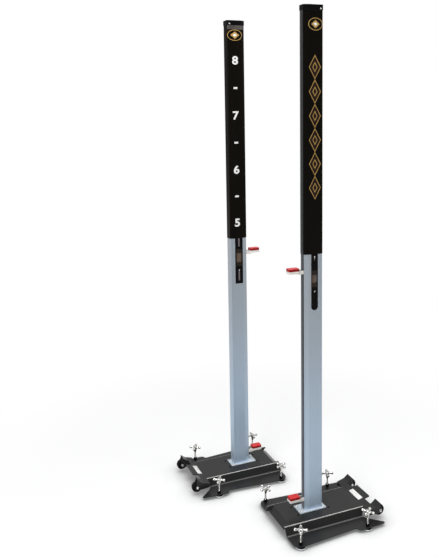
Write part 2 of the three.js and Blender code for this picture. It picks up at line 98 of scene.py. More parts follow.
class StandardsSizes(bpy.types.PropertyGroup):
    nose_depth: length("Nose Depth", "From the mast's own origin to its front end", 0.0475)
    edge_width: length("Edge Width", "Width of the rounded plate edges", 0.0009)
    bolt_radius: length("Bolt Radius", "Radius of the foot plate's bolt heads", 0.0065)
    bolt_inset: length("Bolt Inset", "From the foot plate's edges to its bolts", 0.011)
    deck_screw_radius: length("Deck Screw Radius", "Radius of the black screws in the deck", 0.0055)
    deck_screw_reach: length("Deck Screw Reach", "From the foot plate's ends to the deck screws", 0.013)
    cap_screw_radius: length("Cap Screw Radius", "Radius of the screws in the mast's cap", 0.0045)
    cap_screw_inset: length("Cap Screw Inset", "From the cap's back to its screws", 0.017)
    cap_screw_rise: length("Cap Screw Rise", "From the cap's lower edge to its screws", 0.007)
    numeral_height: length("Numeral Height", "Height of the numbers on the sleeve", 0.046)
    numeral_place: length("Numeral Place", "From the mast's origin to the middle of the numbers", 0.0097)
    numeral_stretch: FloatProperty(name="Numeral Stretch", description="Widening of the numbers",
                                   default=1.14, min=0.1)
    shoulder: length("Shoulder", "From the mast's origin to where its broad faces turn in", 0.022)
    nose_half: length("Nose Half", "Half the width of the mast's flat front end", 0.0165)
    mast_round: length("Mast Round", "Radius of the mast's back corners", 0.005)
    badge_height: length("Badge Height", "Height of the round ornaments on the sleeve", 0.06)
    badge_widths: lengths("Badge Widths", "Widths of the ornaments over the numbers and the lozenges",
                          (0.09, 0.078))
    badge_places: lengths("Badge Places", "From the mast's origin to those two ornaments", (0.009, 0.013))
    badge_rises: lengths("Badge Rises", "Heights at which those two ornaments stand", (2.5755, 2.563))
    border_width: length("Border Width", "Width of the speckled border under the cap", 0.1)
    border_place: length("Border Place", "From the mast's origin to the middle of the border", 0.004)
    border_height: length("Border Height", "Height of the speckled border under the cap", 0.0225)
    ornament_low: length("Ornament Low", "Bottom of the column of lozenges", 1.71)
    ornament_step: length("Ornament Step", "Spacing of the lozenges", 0.118)
    ornament_count: IntProperty(name="Ornament Count", description="Number of lozenges", default=6, min=1)
    ornament_line: length("Ornament Line", "Width of the ornament's gold lines", 0.0032)
    lozenge_width: length("Lozenge Width", "Width of a lozenge", 0.066)
    sleeve_edge: length("Sleeve Edge", "Width of the sleeve's rounded edges", 0.0011)
    foot: length("Foot", "Spacing of the numbers on the sleeve", 0.3048)
    dash_width: length("Dash Width", "Width of the half foot dashes", 0.023)
    dash_height: length("Dash Height", "Height of the half foot dashes", 0.0105)
    print_thickness: length("Print Thickness", "Thickness of the vinyl numbers", 0.00015)
    square_screws: lengths("Square Reader Screws", "Heights of the square reader's screws", (1.2455, 0.0))
    round_screws: lengths("Round Reader Screws", "Heights of the round reader's screws", (1.418, 1.24))
    reader_screw_radius: length("Reader Screw Radius", "Radius of the readers' screws", 0.0042)
    strip_width: length("Strip Width", "Width of the pale strips in the square reader", 0.009)
    strip_high: lengths("Upper Strip", "Bottom and top of the upper pale strip", (1.3845, 1.4355))
    strip_low: lengths("Lower Strip", "Bottom and top of the lower pale strip", (1.1845, 1.2395))
    tape_step: length("Tape Step", "Spacing of the tape's fine marks", 0.005)
    slope_from: length("Slope From", "From the mast's origin to the start of the wheel end's slope", 0.257)
    slope_tilt: angle("Slope Tilt", "Rise of the wheel end's slope", math.radians(15.5))
    label_inset: length("Label Inset", "From the slope's start to the bare white plate", 0.009)
    label_width: length("Label Width", "Width of the bare white plate, up the slope", 0.027)
    label_length: length("Label Length", "Length of the bare white plate, across the slope", 0.094)
    fold_reach: length("Fold Reach", "From the pan's middle to beyond the feet of its walls", 0.13)
    fold_facing: share("Fold Facing", "Least upward facing of the bends with painted highlight", 0.72)
    boss_reach: length("Boss Reach", "Radius of the black bosses round the leveling screws", 0.0135)
    hub_radius: length("Hub Radius", "Radius of a leveling screw's hub", 0.012)
    hub_height: length("Hub Height", "Height of the hub", 0.018)
    hub_taper: length("Hub Taper", "Height of the cone under the hub", 0.022)
    stem_radius: length("Stem Radius", "Radius of a leveling screw's stem", 0.005)
    arm_radius: length("Arm Radius", "Radius of a handle's arm at its neck", 0.0054)
    arm_end_radius: length("Arm End Radius", "Radius of a handle's arm at its end", 0.0075)
    disc_height: length("Disc Height", "Height of a foot pad's bright disc", 0.0078)
    thread_pitch: length("Thread Pitch", "Rise of a leveling screw in one turn", 0.0015)
    thread_depth: length("Thread Depth", "Depth of the leveling screws' threads", 0.0006)
    round_steps: IntProperty(name="Round Steps", description="Sides of a turned piece", default=48, min=12)


class StandardsColours(bpy.types.PropertyGroup):
    coat: colour("Coat", "Powder coat on the bases", rgb(35, 35, 35))
    # The bend colour is a painted highlight: a lighter line where a bend of the coat would catch the light.
    coat_edge: colour("Coat Edge", "Painted highlight on the coat's bends", rgb(172, 170, 167))
    zinc: colour("Zinc", "Plated foot plates", rgb(216, 226, 236))
    mast: colour("Mast", "Anodised masts, lower part", rgb(178, 196, 214))
    # The upper colour is painted shade: the masts turn greyer and darker up their height.
    mast_upper: colour("Mast Upper", "Masts' upper part, greyer by painted shade", rgb(162, 170, 178))
    wrap: colour("Wrap", "Scale sleeves", rgb(18, 16, 13))
    print_white: colour("Print White", "Numbers and dashes", rgb(240, 240, 238))
    gold: colour("Gold", "Ornament on the sleeves", rgb(186, 150, 84))
    black: colour("Black", "Caps and reader frames", rgb(13, 13, 14))
    red: colour("Red", "Peg pads", rgb(208, 12, 22))
    white: colour("White", "Peg brackets", rgb(238, 233, 228))
    bright: colour("Bright", "Plated screws and foot pads", rgb(208, 207, 204))
    # The rubber colour also paints the thin rim under each foot pad, which is painted contact shadow.
    rubber: colour("Rubber", "Wheels, foot rings and the painted contact shadow under the foot pads", rgb(9, 9, 10))
    tape: colour("Tape", "Measuring tapes", rgb(116, 98, 84))


class StandardsStage(bpy.types.PropertyGroup):
    camera_place: FloatVectorProperty(name="Camera Place", description="Where the camera stands",
                                      default=(-1.5576, -3.1948, 2.1211), size=3,
                                      subtype="TRANSLATION", unit="LENGTH")
    heading: FloatVectorProperty(name="Heading", description="The way the camera looks, on the floor",
                                 default=(0.3659, 0.9307), size=2)
    pitch: angle("Pitch", "How far the camera looks down", math.radians(7.04))
    roll: angle("Roll", "How far the camera is rolled", -0.0181)
    lens: FloatProperty(name="Lens", description="Focal length", default=42.86, unit="CAMERA")
    shift_y: FloatProperty(name="Shift", description="Upward shift of the lens", default=-0.141)
    key_power: power("Key Power", "Power of the light from the right", 50.0)
    top_power: power("Top Power", "Power of the light from above", 120.0)
    front_power: power("Front Power", "Power of the light above the camera", 160.0)
    ambient: share("Ambient", "Strength of the room's own light", 0.25)
    front_gloss: share("Front Gloss", "What gloss shows of the room's front", 0.35)
    back_gloss: share("Back Gloss", "What gloss shows above the room's back", 0.76)
    horizon_gloss: share("Horizon Gloss", "What gloss shows low at the back", 0.62)
    floor_return: share("Floor Return", "Light that the floor sends back up", 0.22)
    contact_shade: share("Contact Shade", "How light the paper stays right beside the object", 0.25)
    contact_reach: length("Contact Reach", "How far from the object the paper is darker", 0.12)
    shadow_fade: share("Shadow Fade", "How much white hides the floor's shadow", 0.6)


def sizes():
    return bpy.context.scene.standards_sizes


def linear(value):
    """A colour as the shaders take it, with its alpha, from one as the screen shows it."""
    return (*(c / 12.92 if c <= 0.04045 else ((c + 0.055) / 1.055) ** 2.4 for c in value), 1.0)


def mm(value):
    return value * 0.001


# Places

def place(side):
    """Matrix from one standard's own axes, X towards its wheels, to the pair's."""
    low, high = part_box(f"{side}_mast")
    way = SIDES[side]
    nose = low[0] if way > 0 else high[0]
    origin = Vector((nose + way * sizes().nose_depth, (low[1] + high[1]) / 2, 0.0))
    return Matrix.Translation(origin) @ Matrix.Rotation(0.0 if way > 0 else math.pi, 4, "Z")


def local_box(side, node):
    """Lowest and highest corner of a node along one standard's own axes."""
    inverse = place(side).inverted()
    a, b = (inverse @ Vector(corner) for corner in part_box(f"{side}_{node}"))
    return Vector(min(pair) for pair in zip(a, b)), Vector(max(pair) for pair in zip(a, b))


def world_box(node):
    """Lowest and highest corner of a node along the pair's axes."""
    return [Vector(corner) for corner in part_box(node)]


# Meshes

def new_piece(name, bm, finishes, smooth=True, matrix=None):
    """A mesh object at the origin from a bmesh whose place is in its points."""
    if matrix is not None:
        bmesh.ops.transform(bm, matrix=matrix, verts=bm.verts)
    mesh = mesh_from(bm, name)
    piece = bpy.data.objects.new(name, mesh)
    bpy.context.scene.collection.objects.link(piece)
    for finish in finishes:
        mesh.materials.append(look(finish))
    for polygon in mesh.polygons:
        polygon.use_smooth = smooth
    return piece


def mesh_from(bm, name):
    mesh = bpy.data.meshes.new(name)
    bm.to_mesh(mesh)
    bm.free()
    return mesh


def mount(piece, body, node=None):
    """Gives a piece its body and, where it replaces one, hides its CAD node."""
    if node:
        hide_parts(node)
    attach(piece, body)


def sharpen(bm, degrees=45.0):
    limit = math.radians(degrees)
    for edge in bm.edges:
        edge.smooth = len(edge.link_faces) == 2 and edge.calc_face_angle(0.0) < limit


def turned(bm, profile, matrix=None, steps=None, material=0):
    """A closed surface of revolution about Z from (radius, height) points, from axis to axis."""
    steps = steps or sizes().round_steps
    matrix = matrix or Matrix()
    rings = []
    for radius, height in profile:
        if radius == 0.0:
            rings.append([bm.verts.new(matrix @ Vector((0.0, 0.0, height)))])
            continue
        turns = (2 * math.pi * k / steps for k in range(steps))
        rings.append([bm.verts.new(matrix @ Vector((radius * math.cos(a), radius * math.sin(a), height)))
                      for a in turns])
    loops = list(zip(rings, rings[1:]))
    if profile[0][0] != 0.0:
        loops.append((rings[-1], rings[0]))
    for lower, upper in loops:
        for k in range(steps):
            j = (k + 1) % steps
            corners = [lower[k % len(lower)], lower[j % len(lower)], upper[j % len(upper)],
                       upper[k % len(upper)]]
            unique = list(dict.fromkeys(corners))
            if len(unique) > 2:
                bm.faces.new(unique).material_index = material


def merge_and_face_out(bm):
    bmesh.ops.remove_doubles(bm, verts=bm.verts, dist=1e-6)
    bmesh.ops.recalc_face_normals(bm, faces=bm.faces)


def solid_piece(name, bm, finishes, body, node):
    """A smooth solid in a CAD node's place, with its sharp edges kept."""
    bmesh.ops.recalc_face_normals(bm, faces=bm.faces)
    sharpen(bm)
    mount(new_piece(name, bm, finishes), body, node)


def round_edges(piece, width, segments=2):
    bevel = piece.modifiers.new("Rounded Edges", "BEVEL")
    bevel.width = width
    bevel.segments = segments
    return bevel


def refined(side, node, name, finishes, width, body, segments=2, degrees=32.0, settled=False):
    """A finer piece for a CAD node: its mesh with merged facets and rounded edges."""
    bm = bmesh.new()
    bm.from_mesh(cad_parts[f"{side}_{node}"].data)
    bmesh.ops.remove_doubles(bm, verts=bm.verts, dist=1e-6)
    bmesh.ops.dissolve_limit(bm, angle_limit=math.radians(0.4), verts=bm.verts, edges=bm.edges)
    for face in bm.faces:
        face.material_index = 0
    piece = new_piece(f"{side}_{name}", bm, finishes)
    bevel = round_edges(piece, width, segments)
    bevel.limit_method = "ANGLE"
    bevel.angle_limit = math.radians(degrees)
    bevel.miter_outer = "MITER_ARC"
    weighted = piece.modifiers.new("Even Shading", "WEIGHTED_NORMAL")
    weighted.keep_sharp = False
    weighted.weight = 80
    if settled:
        settle(piece)
    mount(piece, body, f"{side}_{node}")
    return piece


def settle(piece):
    """Turns what the modifiers make into the piece's own mesh."""
    graph = bpy.context.evaluated_depsgraph_get()
    mesh = bpy.data.meshes.new_from_object(piece.evaluated_get(graph), preserve_all_data_layers=True,
                                           depsgraph=graph)
    piece.modifiers.clear()
    piece.data = mesh
    mesh.name = piece.name


def dress(side, node, finish):
    """Gives a CAD node its finish."""
    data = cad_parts[f"{side}_{node}"].data
    data.materials.clear()
    data.materials.append(look(finish))


# Node trees

def feed(tree, node, inputs):
    """Sets a node's inputs, each to a value or to the (node, output) that it is joined to."""
    for key, value in inputs.items():
        if isinstance(value, tuple) and isinstance(value[0], bpy.types.Node):
            tree.links.new(value[0].outputs[value[1]], node.inputs[key])
        else:
            node.inputs[key].default_value = value


def add(tree, kind, inputs=None, **settings):
    """A new node with its settings and inputs."""
    node = tree.nodes.new(kind)
    for key, value in settings.items():
        setattr(node, key, value)
    feed(tree, node, inputs or {})
    return node


def arithmetic(tree, operation, *values):
    """The result of a sum of values or (node, output) pairs."""
    return add(tree, "ShaderNodeMath", dict(enumerate(values)), operation=operation), "Value"


def blend(tree, factor, first, second):
    """The colour between two others."""
    return add(tree, "ShaderNodeMix", {"Factor": factor, "A": first, "B": second}, data_type="RGBA"), "Result"


def smooth_step(tree, value, start, end, low=0.0):
    """Rises smoothly from low to 1 while a value goes from start to end."""
    return add(tree, "ShaderNodeMapRange",
               {"Value": value, "From Min": start, "From Max": end, "To Min": low},
               interpolation_type="SMOOTHSTEP"), "Result"


def group(name, kind, inputs, outputs, fill):
    """The node group of a name, filled when it is first asked for."""
    if name not in bpy.data.node_groups:
        tree = bpy.data.node_groups.new(name, kind)
        for way, sockets in (("INPUT", inputs), ("OUTPUT", outputs)):
            for label, socket in sockets.items():
                tree.interface.new_socket(name=label, in_out=way, socket_type="NodeSocket" + socket)
        fill(tree, tree.nodes.new("NodeGroupInput"), tree.nodes.new("NodeGroupOutput"))
    return bpy.data.node_groups[name]


# Geometry Nodes for what repeats

def leave(tree, copies, entry, leaving):
    """Makes the copies real, gives them their material and sends them out."""
    real = add(tree, "GeometryNodeRealizeInstances", {"Geometry": copies})
    paint = add(tree, "GeometryNodeSetMaterial",
                {"Geometry": (real, "Geometry"), "Material": (entry, "Material")})
    feed(tree, leaving, {"Geometry": (paint, "Geometry")})


def points_up_a_line(tree, entry):
    rise = add(tree, "ShaderNodeCombineXYZ", {"Z": (entry, "Step")})
    return add(tree, "GeometryNodeMeshLine", {"Count": (entry, "Count"), "Offset": (rise, "Vector")},
               mode="OFFSET"), "Mesh"


def fill_fasteners(tree, entry, leaving):
    """Copies of one head on every point, turned to the point's facing and about it by chance."""
    head = add(tree, "GeometryNodeObjectInfo", {"Object": (entry, "Head")})
    facing = add(tree, "GeometryNodeInputNamedAttribute", {"Name": "facing"}, data_type="FLOAT_VECTOR")
    align = add(tree, "FunctionNodeAlignRotationToVector", {"Vector": (facing, "Attribute")}, axis="Z")
    spin = add(tree, "FunctionNodeRandomValue", {2: 0.0, 3: math.pi, "Seed": 7}, data_type="FLOAT")
    turn = add(tree, "FunctionNodeAxisAngleToRotation", {"Axis": UP, "Angle": (spin, 1)})
    both = add(tree, "FunctionNodeRotateRotation",
               {"Rotation": (align, "Rotation"), "Rotate By": (turn, "Rotation")}, rotation_space="LOCAL")
    heads = add(tree, "GeometryNodeInstanceOnPoints",
                {"Points": (entry, "Geometry"), "Instance": (head, "Geometry"),
                 "Rotation": (both, "Rotation"), "Scale": (entry, "Size")})
    leave(tree, (heads, "Instances"), entry, leaving)


def fill_marks(tree, entry, leaving):
    """A row of flat marks up a line, with a longer one at every fifth step."""
    size = add(tree, "ShaderNodeCombineXYZ",
               {"X": (entry, "Length"), "Y": (entry, "Thickness"), "Z": (entry, "Width")})
    mark = add(tree, "GeometryNodeMeshCube", {"Size": (size, "Vector")})
    index = add(tree, "GeometryNodeInputIndex")
    is_fifth = arithmetic(tree, "LESS_THAN", arithmetic(tree, "MODULO", (index, "Index"), 5.0), 0.5)
    stretch = arithmetic(tree, "MULTIPLY_ADD", is_fifth, 0.8, 1.0)
    scale = add(tree, "ShaderNodeCombineXYZ", {"X": stretch, "Y": 1.0, "Z": 1.0})
    marks = add(tree, "GeometryNodeInstanceOnPoints",
                {"Points": points_up_a_line(tree, entry), "Instance": (mark, "Mesh"),
                 "Scale": (scale, "Vector")})
    where = add(tree, "GeometryNodeInputPosition")
    start = add(tree, "GeometryNodeSampleIndex",
                {"Geometry": (entry, "Geometry"), "Value": (where, "Position")}, data_type="FLOAT_VECTOR")
    placed = add(tree, "GeometryNodeSetPosition",
                 {"Geometry": (marks, "Instances"), "Offset": (start, "Value")})
    leave(tree, (placed, "Geometry"), entry, leaving)


def fill_row(tree, entry, leaving):
    """One shape repeated up a line at a given step."""
    copies = add(tree, "GeometryNodeInstanceOnPoints",
                 {"Points": points_up_a_line(tree, entry), "Instance": (entry, "Geometry")})
    leave(tree, (copies, "Instances"), entry, leaving)


RULES = {
    "Fasteners On Points": (fill_fasteners, {"Head": "Object", "Size": "Float"}),
    "Scale Marks": (fill_marks, {"Count": "Int", "Step": "Float", "Length": "Float", "Width": "Float",
                                 "Thickness": "Float"}),
    "Row Up A Line": (fill_row, {"Count": "Int", "Step": "Float"}),
}


def run_rule(name, mesh, rule, values, smooth):
    """A plain mesh made from another by a rule, whose inputs are set by identifier."""
    fill, inputs = RULES[rule]
    tree = group(rule, "GeometryNodeTree", {"Geometry": "Geometry", **inputs, "Material": "Material"},
                 {"Geometry": "Geometry"}, fill)
    piece = bpy.data.objects.new(name, mesh)
    bpy.context.scene.collection.objects.link(piece)
    modifier = piece.modifiers.new("Rule", "NODES")
    modifier.node_group = tree
    for item in tree.interface.items_tree:
        if item.item_type == "SOCKET" and item.in_out == "INPUT" and item.name in values:
            modifier[item.identifier] = values[item.name]
    settle(piece)
    for polygon in piece.data.polygons:
        polygon.use_smooth = smooth
    return piece


def grown(name, rule, points, values, facing=None):
    """A plain mesh made by a rule from points."""
    mesh = bpy.data.meshes.new(name)
    mesh.from_pydata([tuple(point) for point in points], [], [])
    if facing is not None:
        layer = mesh.attributes.new("facing", "FLOAT_VECTOR", "POINT")
        layer.data.foreach_set("vector", [c for vector in facing for c in vector])
    return run_rule(name, mesh, rule, values, smooth=True)


# A button head of unit radius, as (radius, height) points, and the socket in it
BUTTON = [(0.0, -0.2), (1.0, -0.2), (1.0, 0.1), (0.9, 0.35), (0.7, 0.52), (0.0, 0.6)]
SOCKET_RADIUS = 0.5
SOCKET_DEPTH = 0.35


def head_mesh(name, sides):
    """A button head with a sunk socket of a few sides."""
    bm = bmesh.new()
    top = BUTTON[-1][1]
    floor = top - SOCKET_DEPTH
    turned(bm, BUTTON[:-1] + [(SOCKET_RADIUS, top), (SOCKET_RADIUS * 0.96, floor), (0.0, floor)],
           steps=sides * (24 // sides))
    for v in bm.verts:
        reach = math.hypot(v.co.x, v.co.y)
        if 1e-6 < reach < SOCKET_RADIUS * 1.001 and v.co.z > 0:
            turn = math.atan2(v.co.y, v.co.x) % (2 * math.pi / sides) - math.pi / sides
            factor = math.cos(math.pi / sides) / math.cos(turn)
            v.co.x *= factor
            v.co.y *= factor
    merge_and_face_out(bm)
    sharpen(bm, 50.0)
    return bpy.data.objects.new(name, mesh_from(bm, name))


def fasteners(side, name, spots, size, finish="Bright Plating", socket=6):
    """Screw heads as one mesh, each at a point of the standard's own axes and facing a way."""
    name = f"{side}_{name}"
    matrix = place(side)
    head = head_mesh(f"{name}_head", socket)
    made = grown(name, "Fasteners On Points", [matrix @ Vector(point) for point, _ in spots],
                 {"Head": head, "Size": size, "Material": look(finish)}, [way for _, way in spots])
    bpy.data.objects.remove(head)
    mount(made, ROOT)


# Finishes

def stretched(tree, entry):
    """The piece's own coordinates, stretched along one axis or more."""
    where = add(tree, "ShaderNodeTexCoord")
    return add(tree, "ShaderNodeVectorMath", {0: (where, "Object"), 1: (entry, "Stretch")},
               operation="MULTIPLY"), "Vector"


def fill_grain(tree, entry, leaving):
    """Fine relief and drifting tone of a coated, moulded or drawn surface."""
    where = stretched(tree, entry)
    wide = arithmetic(tree, "MULTIPLY", (entry, "Scale"), 0.06)
    for result, scale, detail in (("Height", (entry, "Scale"), 3.0), ("Tone", wide, 2.0)):
        noise = add(tree, "ShaderNodeTexNoise", {"Vector": where, "Scale": scale, "Detail": detail})
        feed(tree, leaving, {result: (noise, "Fac")})


def fill_rubbing(tree, entry, leaving):
    """A mask of the patches where handling has rubbed or dulled a finish."""
    noise = add(tree, "ShaderNodeTexNoise", {"Vector": stretched(tree, entry), "Scale": (entry, "Scale"),
                                             "Detail": 6.0, "Roughness": 0.65})
    patch = smooth_step(tree, (noise, "Fac"), 0.5, 0.72)
    feed(tree, leaving, {"Mask": arithmetic(tree, "MULTIPLY", patch, (entry, "Amount"))})


# Each finish: its colour, or that colour's name in the panel, its roughness and what else it needs
FINISHES = {
    "Charcoal Powder Coat": ("coat", 0.3, dict(
        grain=900.0, tone=0.08, rub=0.25, rub_scale=7.0, rub_colour=rgb(46, 45, 44), rub_roughness=0.1,
        shine=0.32)),
    # The next two finishes are painted highlights on the pan's bends, bright along the deck and mild at the
    # wall feet.
    "Bend Of The Coat": ("coat_edge", 0.4, dict(
        metallic=0.2, grain=700.0, tone=0.2, rub=0.5, rub_scale=26.0, rub_colour=rgb(112, 108, 104))),
    "Inner Fold Of The Coat": (rgb(84, 83, 82), 0.45, dict(
        grain=700.0, tone=0.2, rub=0.5, rub_scale=26.0, rub_colour=rgb(60, 59, 58), shine=0.4)),
    "Zinc Plate": ("zinc", 0.3, dict(
        metallic=0.25, grain=160.0, relief=0.06, tone=0.1, rub=0.5, rub_scale=24.0,
        rub_colour=rgb(188, 200, 214))),
    # The grade is painted shade: between 0.35 and 1.25 m the masts turn greyer and darker.
    "Satin Anodised Aluminium": ("mast", 0.36, dict(
        metallic=0.4, grain=1100.0, stretch=0.012, relief=0.12, tone=0.07, rub_scale=60.0,
        rub_colour=rgb(188, 200, 212), rub_roughness=0.1, grades=[(0.35, 1.25, "mast_upper")])),
    "Mill Aluminium": (rgb(150, 154, 158), 0.42, dict(metallic=0.85, grain=1400.0, stretch=0.01, tone=0.08)),
    "Black Printed Wrap": ("wrap", 0.3, dict(
        grain=260.0, stretch=0.08, relief=0.05, tone=0.18, rub_scale=14.0, rub_colour=rgb(24, 22, 19),
        shine=0.025)),
    "Speckled Wrap Border": (rgb(82, 77, 74), 0.5, dict(
        grain=500.0, tone=0.5, rub=0.9, rub_scale=220.0, rub_colour=rgb(44, 39, 37), shine=0.2)),
    "Dark Brown Print": (rgb(30, 16, 10), 0.42, dict(
        grain=260.0, relief=0.05, tone=0.2, rub_scale=20.0, rub_colour=rgb(38, 22, 12), shine=0.16)),
    "Black Moulding": ("black", 0.36, dict(
        grain=1300.0, relief=0.12, tone=0.15, rub_colour=rgb(22, 22, 24), shine=0.05)),
    # The rail's grades are painted shade: the rail darkens up its height in two steps, most near the sleeve.
    "Guide Rail Plastic": (rgb(106, 110, 116), 0.4, dict(
        grain=1100.0, stretch=0.02, relief=0.08, rub=0.2, rub_scale=30.0, rub_colour=rgb(92, 95, 99),
        shine=0.2, grades=[(0.3, 1.1, rgb(72, 74, 77)), (1.4, 1.47, rgb(40, 41, 42))])),
    "Brown Sight Panel": (rgb(34, 25, 17), 0.35, dict(
        grain=500.0, relief=0.04, tone=0.2, rub_colour=rgb(44, 33, 24), shine=0.2)),
    "Sight Centre Strip": (rgb(118, 108, 112), 0.38, dict(
        metallic=0.3, grain=700.0, stretch=0.05, relief=0.05, rub_colour=rgb(90, 84, 88))),
    "White Vinyl": ("print_white", 0.45, dict(
        grain=600.0, relief=0.04, tone=0.02, rub=0.2, rub_scale=60.0, rub_colour=rgb(222, 220, 214),
        shine=0.2)),
    "Blank White Plate": (rgb(232, 232, 230), 0.38, dict(
        grain=500.0, relief=0.04, tone=0.04, rub=0.35, rub_scale=40.0, rub_colour=rgb(206, 205, 201),
        shine=0.4)),
    "Gold Vinyl": ("gold", 0.4, dict(
        grain=600.0, relief=0.04, tone=0.14, rub=0.5, rub_scale=40.0, rub_colour=rgb(150, 108, 54),
        shine=0.2)),
    "Tape Ink": (rgb(40, 36, 34), 0.6, dict(grain=900.0, relief=0.02, tone=0.1)),
    "Measuring Tape": ("tape", 0.5, dict(
        grain=300.0, relief=0.03, tone=0.05, rub=0.4, rub_scale=40.0, rub_colour=rgb(104, 86, 74),
        shine=0.2)),
    "Natural Nylon": (rgb(222, 219, 208), 0.5, dict(grain=700.0, tone=0.05)),
    "White Enamel": ("white", 0.4, dict(
        grain=700.0, relief=0.08, tone=0.02, rub_scale=50.0, rub_colour=rgb(206, 198, 194))),
    "Red Rubber Pad": ("red", 0.26, dict(
        grain=900.0, relief=0.12, tone=0.06, rub=0.35, rub_scale=45.0, rub_colour=rgb(222, 34, 36),
        shine=0.35, coat=0.4)),
    # The flank red is the pad's red darkened by painted shade, for sides that face away from the light.
    "Red Rubber Flank": (rgb(148, 8, 14), 0.4, dict(
        grain=900.0, relief=0.12, tone=0.06, rub=0.35, rub_scale=45.0, rub_colour=rgb(166, 20, 24),
        shine=0.25)),
    "Bright Plating": ("bright", 0.2, dict(
        metallic=1.0, grain=500.0, relief=0.02, tone=0.05, rub=0.5, rub_scale=80.0,
        rub_colour=rgb(184, 183, 179), rub_roughness=0.1)),
    "Foot Pad Plating": (rgb(232, 233, 235), 0.3, dict(
        metallic=0.25, grain=500.0, relief=0.03, tone=0.04, rub=0.4, rub_scale=80.0,
        rub_colour=rgb(200, 201, 202))),
    "Black Rubber": ("rubber", 0.55, dict(
        grain=800.0, relief=0.25, tone=0.2, rub=0.4, rub_scale=40.0, rub_colour=rgb(20, 19, 18),
        rub_roughness=0.2, shine=0.12)),
    "Black Oxide Steel": (rgb(22, 22, 23), 0.42, dict(metallic=0.4, grain=700.0, relief=0.08, shine=0.3)),
    "Ballast Plate Paint": (rgb(40, 40, 42), 0.6, dict(grain=220.0, relief=0.35, tone=0.2)),
}


def chosen(value):
    """A colour, looked up in the panel where it is given by name."""
    return getattr(bpy.context.scene.standards_colours, value) if isinstance(value, str) else value


def look(name):
    """The material of a name, made from the table when it is first asked for."""
    if name not in bpy.data.materials:
        base, roughness, others = FINISHES[name]
        make_finish(name, chosen(base), roughness, **others)
    return bpy.data.materials[name]


def new_material(name):
    material = bpy.data.materials.new(name)
    material.use_nodes = True
    return material.node_tree, material.node_tree.nodes["Principled BSDF"]


def make_finish(name, base, roughness, metallic=0.0, grain=400.0, stretch=1.0, relief=0.1, tone=0.12,
                rub=0.3, rub_scale=9.0, rub_colour=None, rub_roughness=0.15, coat=0.0, shine=0.5, grades=()):
    """A procedural finish: drifting tone, rubbed patches and fine relief over one base colour.
    Grades blend it into other colours up its height, each between two heights."""
    tree, shader = new_material(name)
    stretch = (1.0, 1.0, stretch)
    grain_group = group("Surface Grain", "ShaderNodeTree", {"Scale": "Float", "Stretch": "Vector"},
                        {"Height": "Float", "Tone": "Float"}, fill_grain)
    rub_group = group("Rubbed Patches", "ShaderNodeTree",
                      {"Scale": "Float", "Stretch": "Vector", "Amount": "Float"}, {"Mask": "Float"},
                      fill_rubbing)
    fine = add(tree, "ShaderNodeGroup", node_tree=grain_group)
    feed(tree, fine, {"Scale": grain, "Stretch": stretch})
    rubbed = add(tree, "ShaderNodeGroup", node_tree=rub_group)
    feed(tree, rubbed, {"Scale": rub_scale, "Stretch": stretch, "Amount": rub})
    dark, light = ((*(min(1.0, c * (1 + drift)) for c in linear(base)[:3]), 1.0) for drift in (-tone, tone))
    tint = blend(tree, (fine, "Tone"), dark, light)
    tint = blend(tree, (rubbed, "Mask"), tint,
                 linear(rub_colour or tuple(min(1.0, c * 1.12) for c in base)))
    for low, high, upper in grades:
        where = add(tree, "ShaderNodeTexCoord")
        height = add(tree, "ShaderNodeSeparateXYZ", {"Vector": (where, "Object")})
        tint = blend(tree, smooth_step(tree, (height, "Z"), low, high), tint, linear(chosen(upper)))
    bump = add(tree, "ShaderNodeBump", {"Strength": relief, "Distance": 0.0004, "Height": (fine, "Height")})
    feed(tree, shader, {
        "Base Color": tint, "Normal": (bump, "Normal"), "Metallic": metallic, "Specular IOR Level": shine,
        "Roughness": arithmetic(tree, "MULTIPLY_ADD", (rubbed, "Mask"), rub_roughness, roughness),
        "Coat Weight": coat, "Coat Roughness": 0.2})


# Bases

# Which of the pan's faces are bends: by how far their normals point up, sideways and lengthways
BEND_RISE = (0.45, 0.995)
BEND_LEAST_SIDEWAYS = 0.1
BEND_MOST_LENGTHWAYS = 0.02
# The white plate's thickness, and how high the middle of it lies over the slope
LABEL_THICKNESS = 0.0008
LABEL_RISE = 0.0003


def mark_folds(side, pan):
    """Gives the bends along the deck and the inner folds at the wall feet their painted highlight finishes,
    lighter lines where the bent coat would catch the light, and the bosses their finish.
    """
    s = sizes()
    inverse = place(side).inverted()
    turn = inverse.to_3x3()
    deck, _ = local_box(side, "foot_plate")
    _, ring = local_box(side, "foot_pad_1")
    halfway = (deck.z + ring.z) / 2
    bosses = [sum(local_box(side, f"foot_pad_{i}"), Vector()) / 2 for i in FEET]
    # Bends facing up get painted highlight: index 1 a bright one along the deck, index 2 a mild one at the
    # wall feet.
    for polygon in pan.data.polygons:
        normal = turn @ polygon.normal
        centre = inverse @ polygon.center
        if any(math.hypot(centre.x - b.x, centre.y - b.y) < s.boss_reach for b in bosses):
            polygon.material_index = 3
        elif (BEND_RISE[0] < normal.z < BEND_RISE[1] and abs(normal.y) > BEND_LEAST_SIDEWAYS
              and abs(normal.x) < BEND_MOST_LENGTHWAYS):
            if centre.z < halfway and abs(centre.y) < s.fold_reach:
                polygon.material_index = 2
            elif centre.z > halfway and normal.z > s.fold_facing:
                polygon.material_index = 1


def make_bases():
    for side in SIDES:
        finishes = ["Charcoal Powder Coat", "Bend Of The Coat", "Inner Fold Of The Coat", "Black Moulding"]
        pan = refined(side, "base_pan", "painted_pan", finishes, sizes().edge_width, ROOT,
                      settled=True)
        mark_folds(side, pan)
        dress(side, "ballast_plate", "Ballast Plate Paint")
        make_label(side)


